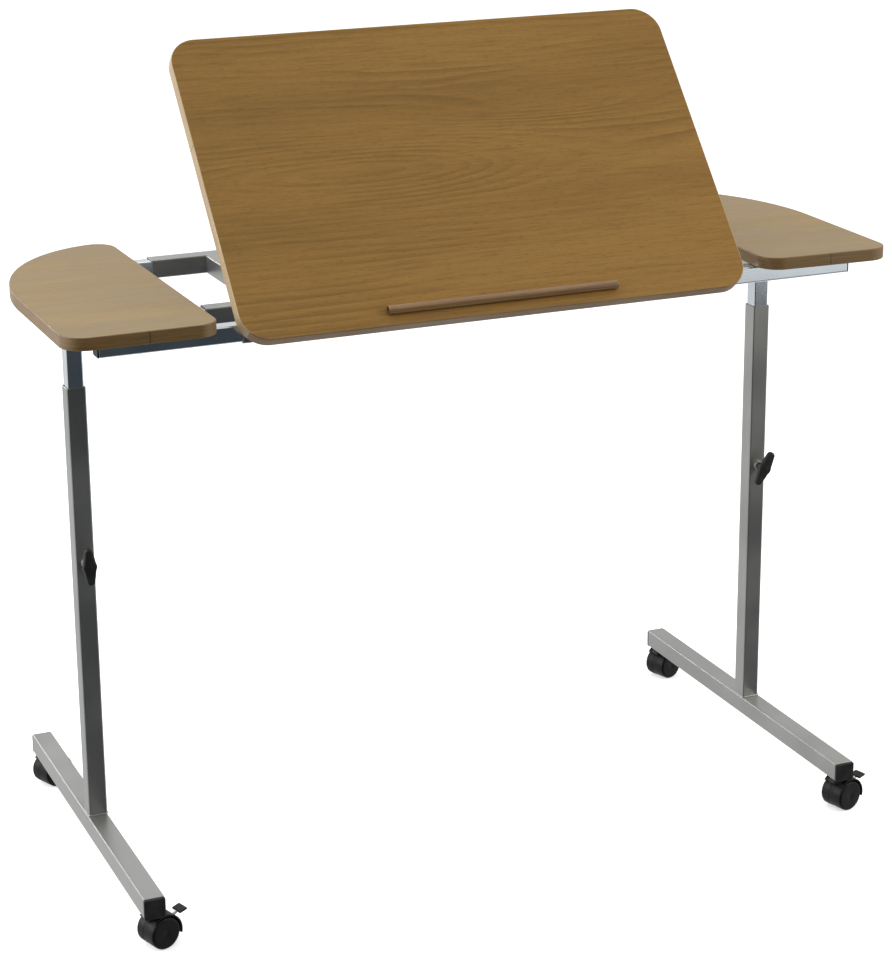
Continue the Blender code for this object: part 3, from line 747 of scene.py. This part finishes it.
# (inset, distance from the upright's face) through the bar
KNOB_BAR = (
    (0.0022, 0.0166), (0.0008, 0.0170), (0.0, 0.0180), (0.0, 0.0218), (0.0005, 0.0233),
    (0.0015, 0.0244), (0.0030, 0.0250),
)
# (radius, distance from the upright's face) of the neck, of the button in the bar's middle, and of the stud
KNOB_NECK = (
    (0, 0.0180), (0.0062, 0.0180), (0.0056, 0.0110), (0.0052, 0.0068), (0.0048, 0.0063),
    (0, 0.0063),
)
KNOB_BUTTON = ((0, 0.0252), (0.0026, 0.0252), (0.0030, 0.0249), (0.0032, 0.0240), (0, 0.0240))
KNOB_STUD = ((0, 0.0075), (0.0030, 0.0075), (0.0030, -0.0010), (0.0026, -0.0014), (0, -0.0014))


def knob_outline():
    """A bar with round ends and a round swelling in the middle."""
    return (
        arc((0, KNOB_SPAN), KNOB_END, 10, 170, 16)
        + arc((0, 0), KNOB_MIDDLE, 150, 210, 10)
        + arc((0, -KNOB_SPAN), KNOB_END, 190, 350, 16)
        + arc((0, 0), KNOB_MIDDLE, -30, 30, 10)
    )


def height_knob(side, plastic, steel):
    node = "height_knob_" + side
    outline = knob_outline()
    bm = bmesh.new()
    loft(bm, [(shrunk(outline, inset), -out) for inset, out in KNOB_BAR], "Y")
    turned(bm, outwards(0, KNOB_NECK), "Y")
    turned(bm, outwards(0, KNOB_BUTTON), "Y", steps=32)
    turned(bm, outwards(0, KNOB_STUD), "Y", steps=24, index=1)
    place = Matrix.Translation((SIDES[side] * LEG_X, UPRIGHT_FRONT, KNOB_Z))
    matrix = place @ Matrix.Rotation(KNOB_LEAN[side], 4, "Y")
    name, materials = "wing_knob_" + side, [plastic, steel]
    add_piece(name, bm, materials, [node], matrix, sharp=50)


# ---- Tilt clamp: the knob is drawn about the stud, and the quadrant about the hinge

CLAMP_RADIUS, CLAMP_DROP = 0.065, 0.016
CLAMP_ANGLE = -math.asin(CLAMP_DROP / CLAMP_RADIUS)
CLAMP_Y = PIVOT.y + CLAMP_RADIUS * math.cos(CLAMP_ANGLE)
CLAMP_Z = PIVOT.z + CLAMP_RADIUS * math.sin(CLAMP_ANGLE)
BRACKET_X, QUADRANT_X = (0.2605, 0.2635), (0.2645, 0.2675)
GRIP_X = QUADRANT_X[1] + 0.0075
NUT_X, NUT_RADIUS = 0.2572, 0.0058
STUD_X, STUD_RADIUS = 0.2573, 0.0030
GRIP_RADIUS, GRIP_LOBE, GRIP_LOBES = 0.0138, 0.0012, 5
# (inset, distance from the grip's inner face)
GRIP_SECTION = (
    (0.0012, 0.0), (0.0003, 0.0004), (0.0, 0.0014), (0.0, 0.0118), (0.0008, 0.0138),
    (0.0024, 0.0149), (0.0060, 0.0150),
)
QUADRANT_HALF, QUADRANT_SLOT = 0.010, 0.0034  # half widths
QUADRANT_TRAVEL = 60  # degrees, the panel's whole tilt
QUADRANT_PAST = (8, 15.5)  # degrees of strip past the tilt's two ends
FLANGE = ((0.0, 0.045), (0.020, 0.095))  # across from the strip, and back from the hinge
FLANGE_THICK = 0.002


def tilt_knob(plastic, steel):
    """A round knob with five shallow lobes and its stud."""
    outline = []
    for angle in [math.tau * i / 80 for i in range(80)]:
        radius = GRIP_RADIUS + GRIP_LOBE * math.cos(GRIP_LOBES * angle)
        outline.append((radius * math.cos(angle), radius * math.sin(angle)))
    bm = bmesh.new()
    loft(bm, [(shrunk(outline, inset), GRIP_X + along) for inset, along in GRIP_SECTION], "X")
    near, far = QUADRANT_X[1] + 0.001, GRIP_X + 0.002
    turned(bm, [(0, near), (0.0076, near), (0.0080, near + 0.0005), (0.0090, far), (0, far)], "X")
    stud = [(0, STUD_X), (STUD_RADIUS - 0.0003, STUD_X), (STUD_RADIUS, STUD_X + 0.0004)]
    turned(bm, stud + [(STUD_RADIUS, GRIP_X), (0, GRIP_X)], "X", steps=24, index=1)
    matrix = Matrix.Translation((0, CLAMP_Y, CLAMP_Z))
    nodes, materials = ["tilt_knob"], [plastic, steel]
    add_piece("tilt_hand_knob", bm, materials, nodes, matrix, sharp=50)


def along_line(first, last, count):
    """Points between two others, at even steps."""
    return [tuple(Vector(first).lerp(Vector(last), k / (count + 1))) for k in range(1, count + 1)]


def strip_outlines():
    """The curved strip and its slot, as outlines of as many points."""
    top = math.degrees(CLAMP_ANGLE)
    bottom = top - QUADRANT_TRAVEL
    start, end = bottom - QUADRANT_PAST[0], top + QUADRANT_PAST[1]
    outer = arc((0, 0), CLAMP_RADIUS + QUADRANT_HALF, start, end, 30)
    inner = arc((0, 0), CLAMP_RADIUS - QUADRANT_HALF, end, start, 30)
    strip = outer + along_line(outer[-1], inner[0], 9) + inner + along_line(inner[-1], outer[0], 9)
    first, last = bottom - 1, top + 1
    upper = arc((0, 0), CLAMP_RADIUS, last, last, 1)[0]
    lower = arc((0, 0), CLAMP_RADIUS, first, first, 1)[0]
    hole = arc((0, 0), CLAMP_RADIUS + QUADRANT_SLOT, first, last, 30)
    hole += arc(upper, QUADRANT_SLOT, last, last + 180, 10)[1:-1]
    hole += arc((0, 0), CLAMP_RADIUS - QUADRANT_SLOT, last, first, 30)
    hole += arc(lower, QUADRANT_SLOT, first + 180, first + 360, 10)[1:-1]
    return strip, hole


def quadrant(steel):
    """The slotted strip that slides past the clamp stud, and its flange under the panel."""
    strip, hole = strip_outlines()
    low, high = QUADRANT_X
    bm = bmesh.new()
    loft(bm, [(strip, low), (strip, high), (hole, high), (hole, low)], "X", capped=False)
    (near, front), (far, back) = FLANGE
    top = PANEL_BOTTOM - GAP
    under = top - FLANGE_THICK
    plate(bm, rounded_box((low + near, front), (low + far, back), 0.003), "Z", under, top)
    for y in (0.055, 0.085):
        button_screw(bm, (low + 0.012, y, under), "Z", -1, 0.0030)
    matrix = panel_matrix()
    add_piece("tilt_slotted_strip", bm, [steel], ["tilt_quadrant"], matrix)


def clamp_bracket(coat, steel):
    """The plate that stands behind the front rail, with the stud's nut."""
    front = FRONT_RAIL_Y + TUBE / 2 + GAP
    outline = rounded_box((front, CLAMP_Z - 0.011), (CLAMP_Y + 0.012, RAIL_Z + 0.010), 0.003)
    bm = bmesh.new()
    plate(bm, outline, "X", *BRACKET_X)
    plate(bm, ring(NUT_RADIUS, 6), "X", NUT_X, BRACKET_X[0], 0.0003, (0, CLAMP_Y, CLAMP_Z), 1)
    add_piece("tilt_bracket", bm, [coat, steel], ["clamp_bracket"])


# ---- Hinges and screws

HINGE_X, HINGE_HALF, HINGE_SPLIT = 0.200, 0.025, 0.0085
HINGE_LEAF, KNUCKLE = 0.0012, 0.0022  # the leaves' thickness and the knuckles' radius
LEAF_CORNER, TONGUE_CORNER = (0.0015, 3), (0.0002, 1)  # radius and steps
HINGE_SCREW_X, HINGE_SCREW = 0.016, 0.0028
LEAF_SCREW_X, LEAF_SCREW = (0.394, 0.456), 0.0036
# (radius, height) of a button head with a recess, in head radii
BUTTON_HEAD = (
    (0, 0.28), (0.34, 0.28), (0.40, 0.62), (0.60, 0.60), (0.85, 0.40), (1.0, 0.12), (1.0, -0.1),
    (0, -0.1),
)
# (radius, distance behind the rail) of the width screw's washer, and its hexagon head
WIDTH_WASHER = ((0, 0), (0.0062, 0), (0.0062, 0.0006), (0.0060, 0.0009), (0, 0.0009))
WIDTH_HEAD_RADIUS, WIDTH_HEAD = 0.0055, (0.0008, 0.0060)
WIDTH_SHANK = 0.0030


def button_screw(bm, place, axis, out, radius):
    """A button head standing out from a face along its axis."""
    turned(bm, [(r * radius, out * h * radius) for r, h in BUTTON_HEAD], axis, place, 24)


def knuckle(bm, low, high, offset=(0, 0, 0)):
    """A rolled knuckle round the pin."""
    ease, bore = 0.0003, HINGE_PIN + 0.0002
    profile = [
        (bore, low),
        (KNUCKLE - ease, low),
        (KNUCKLE, low + ease),
        (KNUCKLE, high - ease),
        (KNUCKLE - ease, high),
        (bore, high),
        (bore, low),
    ]
    turned(bm, profile, "X", offset, 24)


def hinge(side, steel):
    """The leaf on the front rail, and the pin."""
    middle = SIDES[side] * HINGE_X
    back = FRONT_RAIL_Y - TUBE / 2 - GAP
    face = back - HINGE_LEAF
    near, far = middle - HINGE_HALF, middle + HINGE_HALF
    axle = (0, PIVOT.y, PIVOT.z)
    bm = bmesh.new()
    leaf = rounded_box((near, PIVOT.z - 0.0195), (far, PIVOT.z - 0.0028), *LEAF_CORNER)
    plate(bm, leaf, "Y", face, back)
    for sign in (-1, 1):
        low, high = sorted((middle + sign * (HINGE_SPLIT + 0.0002), middle + sign * (HINGE_HALF - 0.0002)))
        tongue = rounded_box((low, PIVOT.z - 0.0040), (high, PIVOT.z + 0.0008), *TONGUE_CORNER)
        plate(bm, tongue, "Y", face, back)
        knuckle(bm, low, high, axle)
        button_screw(bm, (middle + sign * HINGE_SCREW_X, face, PIVOT.z - 0.0115), "Y", -1, HINGE_SCREW)
    add_piece("hinge_fixed_" + side, bm, [steel], ["hinge_leaf_frame_" + side])
    bm = bmesh.new()
    low, high, ease = near - 0.0005, far + 0.0005, 0.0003
    start = [(0, low), (HINGE_PIN - ease, low), (HINGE_PIN, low + ease)]
    end = [(HINGE_PIN, high - ease), (HINGE_PIN - ease, high), (0, high)]
    turned(bm, start + end, "X", axle, 20)
    add_piece("hinge_rod_" + side, bm, [steel], ["hinge_pin_" + side])


def panel_hinge(side, steel):
    """The leaf under the panel, drawn with the hinge's axis at the origin."""
    node = "hinge_leaf_panel_" + side
    middle = SIDES[side] * HINGE_X
    top = PANEL_BOTTOM - GAP
    under = top - HINGE_LEAF
    low, high = middle - HINGE_HALF, middle + HINGE_HALF
    near, far = middle - HINGE_SPLIT + 0.0005, middle + HINGE_SPLIT - 0.0005
    bm = bmesh.new()
    plate(bm, rounded_box((low, -0.023), (high, -0.0028), *LEAF_CORNER), "Z", under, top)
    plate(bm, rounded_box((near, -0.0040), (far, 0.0003), *TONGUE_CORNER), "Z", under, top)
    knuckle(bm, near, far)
    for sign in (-1, 1):
        button_screw(bm, (middle + sign * HINGE_SCREW_X, -0.0150, under), "Z", -1, HINGE_SCREW)
    add_piece("hinge_moving_" + side, bm, [steel], [node], panel_matrix())


def width_screw(side, steel):
    """The hexagon screw behind the back rail, on a washer."""
    node = "width_screw_" + side
    place = centre_of(node)
    place.y = 0
    back = BACK_RAIL_Y + TUBE / 2 + GAP
    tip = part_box(node)[0].y
    low, high = WIDTH_HEAD
    bm = bmesh.new()
    plate(bm, ring(WIDTH_HEAD_RADIUS, 6), "Y", back + low, back + high, 0.0004, place)
    turned(bm, [(radius, back + out) for radius, out in WIDTH_WASHER], "Y", place)
    turned(bm, [(0, tip), (WIDTH_SHANK, tip), (WIDTH_SHANK, back), (0, back)], "Y", place, 20)
    add_piece("width_bolt_" + side, bm, [steel], [node])


def leaf_screws(side, steel):
    """Button screws that come up through the sliding rails into the leaf."""
    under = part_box("sliding_rail_front_" + side)[0].z
    bm = bmesh.new()
    for y in (FRONT_RAIL_Y, BACK_RAIL_Y):
        for x in LEAF_SCREW_X:
            button_screw(bm, (SIDES[side] * x, y, under), "Z", -1, LEAF_SCREW)
    add_piece("leaf_screws_" + side, bm, [steel], body=body_of("side_leaf_" + side))


# ---- Castors, drawn with the stem at the origin and trailing along +X

WHEEL = 0.021
TRAIL = 0.0075
AXLE = (TRAIL, WHEEL)
AXLE_RADIUS, AXLE_HALF = 0.0023, 0.0040
CASTOR_INSET = 0.0138  # from the base tube's end to the stem
CASTOR_YAW = {
    "front_left": math.radians(18),
    "front_right": math.radians(15.5),
    "back_left": math.radians(23),
    "back_right": math.radians(19),
}

HOOD, HOOD_WALL, HOOD_HALF = 0.0250, 0.0022, 0.0172
HOOD_SPAN = (132, -14)  # degrees about the axle
HOOD_SLOT = (46, 6)  # degrees of the hood that the pedal passes through
SLOT_HALF = 0.0017
WEB_HALF, WEB_ROOM = 0.0031, (80, 2)  # and the degrees left out for the pedal
HOOD_TAPER, HOOD_TAPER_STEPS = 0.0015, 5
FILLER, FILLER_RADIUS = 0.0036, 0.0207  # the disc that fills the gap between the wheels
NECK_PROFILE = (
    (0, 0.0405), (0.0125, 0.0405), (0.0112, 0.0435), (0.0102, 0.0452), (0.0100, 0.0457),
    (0, 0.0457),
)
STEM_PROFILE = ((0, 0.0455), (0.0040, 0.0455), (0.0040, 0.0640), (0.0032, 0.0650), (0, 0.0650))
WHEEL_PROFILE = (
    (0, 0.0174), (0.0050, 0.0174), (0.0056, 0.0178), (0.0172, 0.0180), (0.0188, 0.0178),
    (0.0200, 0.0172), (0.0208, 0.0160), (0.0210, 0.0140), (0.0210, 0.0044), (0.0209, 0.0040),
    (0.0207, 0.0037), (0, 0.0037),
)

# The pedal is drawn about the wheels' axle
PEDAL_PIVOT, PEDAL_PAD = Vector((0.0095, 0.0055)), Vector((0.0330, 0.0172))
PEDAL_SLOPE = math.radians(13)
LEVER_ROOT, LEVER_TIP, LEVER_HALF = 0.0024, 0.0017, 0.0012
LEVER_SHORT = 0.002  # how far the lever stops before the pad's middle
PAD_HALF = Vector((0.0060, 0.0085, 0.0015))  # along, across and through


def castor_matrix(corner):
    row, side = corner.split("_")
    low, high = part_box("leg_frame_" + side)
    y = low.y + CASTOR_INSET if row == "front" else high.y - CASTOR_INSET
    return Matrix.Translation((SIDES[side] * LEG_X, y, 0)) @ Matrix.Rotation(CASTOR_YAW[corner], 4, "Z")


def axle_matrix(corner):
    return castor_matrix(corner) @ Matrix.Translation((TRAIL, 0, WHEEL))


def shell_part(bm, start, end, low, high):
    """A stretch of the hood's shell, between two angles and two places across."""
    steps = max(3, round(abs(start - end) / 6))
    centre = Vector(AXLE)
    outside = [Vector(point) for point in arc(centre, HOOD, start, end, steps)]
    if start == HOOD_SPAN[0]:
        # The leading edge thins out onto the wheels
        for i, point in enumerate(outside[:HOOD_TAPER_STEPS]):
            point -= (point - centre).normalized() * HOOD_TAPER * (1 - i / HOOD_TAPER_STEPS)
    outline = [tuple(point) for point in outside] + arc(centre, HOOD - HOOD_WALL, end, start, steps)
    plate(bm, outline[::-1], "Y", low, high)


def web_outline(slotted):
    """The web between the wheels, with the pedal's room left out when slotted."""
    radius = HOOD - HOOD_WALL + 0.0004
    foot = [(TRAIL + 0.008, WHEEL - 0.009), (TRAIL - 0.008, WHEEL - 0.009)]
    if not slotted:
        return (arc(AXLE, radius, *HOOD_SPAN, 30) + foot)[::-1]
    room = [(TRAIL + 0.0042, WHEEL + 0.0008)]
    before = arc(AXLE, radius, HOOD_SPAN[0], WEB_ROOM[0], 14)
    after = arc(AXLE, radius, WEB_ROOM[1], HOOD_SPAN[1], 5)
    return (before + room + after + foot)[::-1]


def braked_hood(bm):
    """The hood's shell and web with a slot for the pedal."""
    first, last = HOOD_SLOT
    shell_part(bm, HOOD_SPAN[0], first, -HOOD_HALF, HOOD_HALF)
    shell_part(bm, first, last, -HOOD_HALF, -SLOT_HALF)
    shell_part(bm, first, last, SLOT_HALF, HOOD_HALF)
    shell_part(bm, last, HOOD_SPAN[1], -HOOD_HALF, HOOD_HALF)
    plate(bm, web_outline(True), "Y", -WEB_HALF, WEB_HALF)
    plate(bm, web_outline(False), "Y", -WEB_HALF, -SLOT_HALF)
    plate(bm, web_outline(False), "Y", SLOT_HALF, WEB_HALF)


def hood(corner, plastic, steel):
    """The hood over a castor's wheels, with its neck and stem."""
    node = f"castor_{corner}_hood"
    bm = bmesh.new()
    if "front" in corner:
        braked_hood(bm)
    else:
        shell_part(bm, *HOOD_SPAN, -HOOD_HALF, HOOD_HALF)
        plate(bm, web_outline(False), "Y", -WEB_HALF, WEB_HALF)
    turned(bm, NECK_PROFILE, "Z")
    disc = [(0, -FILLER), (FILLER_RADIUS, -FILLER), (FILLER_RADIUS, FILLER), (0, FILLER)]
    turned(bm, disc, "Y", (TRAIL, 0, WHEEL), 64)
    turned(bm, STEM_PROFILE, "Z", steps=24, index=1)
    materials, matrix = [plastic, steel], castor_matrix(corner)
    add_piece(f"hood_{corner}", bm, materials, [node], matrix, sharp=42)


def wheels(corner, tread, steel):
    """Both wheels on their axle."""
    name = "castor_" + corner
    nodes = [name + "_wheel_a", name + "_wheel_b", name + "_axle"]
    bm = bmesh.new()
    for sign in (-1, 1):
        turned(bm, [(radius, sign * along) for radius, along in WHEEL_PROFILE], "Y", steps=64)
    rod = [(0, -AXLE_HALF), (AXLE_RADIUS, -AXLE_HALF), (AXLE_RADIUS, AXLE_HALF), (0, AXLE_HALF)]
    turned(bm, rod, "Y", steps=24, index=1)
    matrix = axle_matrix(corner)
    add_piece(f"wheels_{corner}", bm, [tread, steel], nodes, matrix, sharp=35)


def pedal(corner, plastic, steel):
    """The brake lever and its pad."""
    node = f"castor_{corner}_pedal"
    along = PEDAL_PAD - PEDAL_PIVOT
    turn = math.degrees(math.atan2(along.y, along.x))
    tip = PEDAL_PIVOT + along * (along.length - LEVER_SHORT) / along.length
    lever = arc(PEDAL_PIVOT, LEVER_ROOT, turn + 90, turn + 270, 12)
    lever += arc(tip, LEVER_TIP, turn - 90, turn + 90, 8)
    bm = bmesh.new()
    plate(bm, lever, "Y", -LEVER_HALF, LEVER_HALF, index=1)
    tilt = Matrix.Rotation(PEDAL_SLOPE, 2)
    level = rounded_box((-PAD_HALF.x, -PAD_HALF.z), (PAD_HALF.x, PAD_HALF.z), 0.0012, 4)
    pad = [tuple(tilt @ Vector(point) + PEDAL_PAD) for point in level]
    plate(bm, pad, "Y", -PAD_HALF.y, PAD_HALF.y, 0.0005)
    materials, matrix = [plastic, steel], axle_matrix(corner)
    add_piece(f"brake_{corner}", bm, materials, [node], matrix, sharp=42)


# ---- Camera, lights and floor

CAMERA_PLACE = (-1.2479, -2.9529, 1.5080)
CAMERA_HEADING, CAMERA_DOWN, CAMERA_ROLL = math.radians(21.520), math.radians(16.659), math.radians(-0.967)
CAMERA_LENS, CAMERA_SENSOR = 93.486, 36
CAMERA_SHIFT = (0.0766, -0.0623)

WHITE = (1, 1, 1)
WARM = (1.0, 0.88, 0.70)
ROOM_LIGHT, ROOM_DARK = (0.85, 0.85, 0.85), (0.052, 0.062, 0.073)
# name, place, target, width and height, watts, colour
LIGHTS = (
    ("top", (-0.7, 1.3, 3.0), (-0.2, 0, 0.6), (2.6, 2.0), 26, WHITE),
    ("left", (-3.0, 0.7, 1.5), (-0.4, 0, 0.8), (1.8, 1.8), 60, WHITE),
    ("card", (1.45, -1.55, 0.62), (1.45, 0, 0.62), (1.4, 0.66), 2.6, WHITE),
    ("front_right", (1.9, -1.3, 1.45), (0.45, -0.1, 0.8), (0.6, 0.6), 18, WARM),
    ("rim", (-1.75, 3.7, 1.35), (-0.5, 0, 0.5), (0.9, 0.7), 16, WHITE),
)
FLOOR_HALF = 14
FLOOR_TONES = ((0.86, 0.86, 0.86), (0.88, 0.88, 0.88))
FLOOR_GLOW = 0.45


def make_camera():
    """A camera that looks down at the table from its front left."""
    flat = math.cos(CAMERA_DOWN)
    sideways, ahead = math.sin(CAMERA_HEADING), math.cos(CAMERA_HEADING)
    forward = Vector((sideways * flat, ahead * flat, -math.sin(CAMERA_DOWN)))
    level = Vector((ahead, -sideways, 0))
    upright = level.cross(forward)
    right = math.cos(CAMERA_ROLL) * level + math.sin(CAMERA_ROLL) * upright
    up = math.cos(CAMERA_ROLL) * upright - math.sin(CAMERA_ROLL) * level
    data = bpy.data.cameras.new("camera")
    data.lens = CAMERA_LENS
    data.sensor_width = CAMERA_SENSOR
    data.shift_x, data.shift_y = CAMERA_SHIFT
    data.clip_end = 60
    camera = add_object("camera", data)
    turn = Matrix((right, up, -forward)).transposed()
    camera.matrix_world = Matrix.Translation(CAMERA_PLACE) @ turn.to_4x4()
    bpy.context.scene.camera = camera


def area_light(name, place, target, size, power, colour):
    data = bpy.data.lights.new(name, "AREA")
    data.shape = "RECTANGLE"
    data.size, data.size_y = size
    data.energy = power
    data.color = colour
    light = add_object(name, data)
    light.location = place
    light.rotation_euler = (Vector(target) - Vector(place)).to_track_quat("-Z", "Y").to_euler()


def make_world():
    """White to the camera. As light, a bright room with a dim front, which ends at the right and above."""
    world = bpy.data.worlds.new("studio")
    bpy.context.scene.world = world
    g = Graph(world)
    x, y, z = g.split(g.add("ShaderNodeTexCoord").outputs["Generated"])
    in_front = g.between(y, -0.70, -0.10, 1.0, 0.0)
    not_right = g.between(x, 0.60, 0.90, 1.0, 0.0)
    not_above = g.between(z, 0.10, 0.55, 1.0, 0.0)
    dark = g.times(g.times(in_front, not_right), not_above)
    room = g.mix(dark, ROOM_LIGHT, ROOM_DARK)
    to_camera = g.add("ShaderNodeLightPath").outputs["Is Camera Ray"]
    g.feed(g.nodes["Background"].inputs["Color"], g.mix(to_camera, room, WHITE))


def make_floor():
    """A pale floor with a glow of its own, so that it stays white in soft light."""
    near, far = -FLOOR_HALF, FLOOR_HALF
    mesh = bpy.data.meshes.new("floor")
    mesh.from_pydata([(near, near, 0), (far, near, 0), (far, far, 0), (near, far, 0)], [], [(0, 1, 2, 3)])
    g = material_graph("pale_floor")
    cloud = g.noise(g.object_point(), 0.8, 2.0)
    g.set(Base_Color=g.mix(cloud, *FLOOR_TONES), Roughness=0.9, Specular_IOR_Level=0.0)
    g.set(Emission_Color=(*WHITE, 1), Emission_Strength=FLOOR_GLOW)
    mesh.materials.append(g.owner)
    floor = add_object("floor", mesh)
    floor.visible_glossy = False
    floor.visible_diffuse = False


make_camera()
make_world()
make_floor()
for light in LIGHTS:
    area_light(*light)


# ---- The table

COAT, PLATING, ZINC = (0.355, 0.360, 0.347), (0.68, 0.73, 0.76), (0.60, 0.60, 0.60)
NYLON, TREAD = (0.017, 0.017, 0.017), (0.003, 0.003, 0.003)
# The rod's end faces: the colour of end grain, darkened further as painted shade
END_GRAIN_AND_SHADE, BACKING = (0.050, 0.030, 0.020), (0.42, 0.36, 0.28)
# Light, middle and dark
LEAF_TONES = ((0.285, 0.184, 0.057), (0.240, 0.154, 0.044), (0.148, 0.090, 0.023))
PANEL_TONES = ((0.312, 0.170, 0.038), (0.260, 0.139, 0.029), (0.142, 0.075, 0.013))
ROD_TONES = ((0.310, 0.175, 0.060), (0.240, 0.130, 0.044), (0.130, 0.068, 0.020))
# Light and dark
LEAF_BAND = ((0.200, 0.120, 0.042), (0.130, 0.074, 0.024))
# Painted light: the panel's side band is much lighter than the leaves' band and the panel's own front band,
# to stand in for light falling on the panel's sides
PANEL_BAND_PAINTED_LIGHT = ((0.46, 0.34, 0.19), (0.32, 0.22, 0.11))
PANEL_FRONT_BAND = ((0.260, 0.155, 0.062), (0.185, 0.105, 0.040))
NO_SEAM = 2.0  # a place that the band doesn't reach

coat = powder_coat("grey_powder_coat", COAT)
plating = plated("bright_plating", PLATING)
steel = plain_steel("zinc_plated_steel", ZINC)
plastic = moulded("black_nylon", NYLON, (0.40, 0.55), shine=0.2)
tread = moulded("castor_wheel_nylon", TREAD, (0.42, 0.60), 500.0, shine=0.22)
leaf_wood = laminate("beech_laminate_leaf", LEAF_TONES, 1.7, 0.42)
panel_wood = laminate("beech_laminate_panel", PANEL_TONES, 4.2, 0.25, figured=True)
rod_wood = laminate("stained_beech_rod", ROD_TONES, 7.9, 0.9, rough=(0.16, 0.26))
# End grain and painted shade on the rod's end faces
end_grain_and_shade = moulded("dark_end_grain", END_GRAIN_AND_SHADE)
backing = backing_sheet("plain_backing_sheet", BACKING)
bands = {
    "leaf_left": edge_band("edge_band_left", LEAF_BAND, -0.458),
    "leaf_right": edge_band("edge_band_right", LEAF_BAND, 0.461),
    # The panel's sides get the band that is painted lighter, as painted light on them
    "panel": edge_band("edge_band_panel", PANEL_BAND_PAINTED_LIGHT, 0.241, 1),
    "panel_front": edge_band("edge_band_panel_front", PANEL_FRONT_BAND, NO_SEAM),
}

for node in ("outer_rail_front", "outer_rail_back", "stretcher"):
    dress_tube(node, "X", coat)
for side in SIDES:
    dress_tube("crossbar_" + side, "Y", coat)
    for row in ("front", "back", "middle"):
        dress_tube(f"sliding_rail_{row}_{side}", "X", plating)
    dress_tube("end_bar_" + side, "Y", plating)
    dress_tube("post_" + side, "Z", plating)
    leg(side, coat)
    height_knob(side, plastic, steel)
    hinge(side, steel)
    panel_hinge(side, steel)
    width_screw(side, steel)
    leaf_screws(side, steel)
welds(coat)
caps(plastic)
leaves(leaf_wood, backing, bands)
panel(panel_wood, backing, bands)
stop_rod(rod_wood, end_grain_and_shade)
tilt_knob(plastic, steel)
quadrant(steel)
clamp_bracket(coat, steel)
for corner in CORNERS:
    hood(corner, tread, steel)
    wheels(corner, tread, steel)
    if "front" in corner:
        pedal(corner, plastic, steel)

bpy.context.scene.view_settings.view_transform = "Standard"
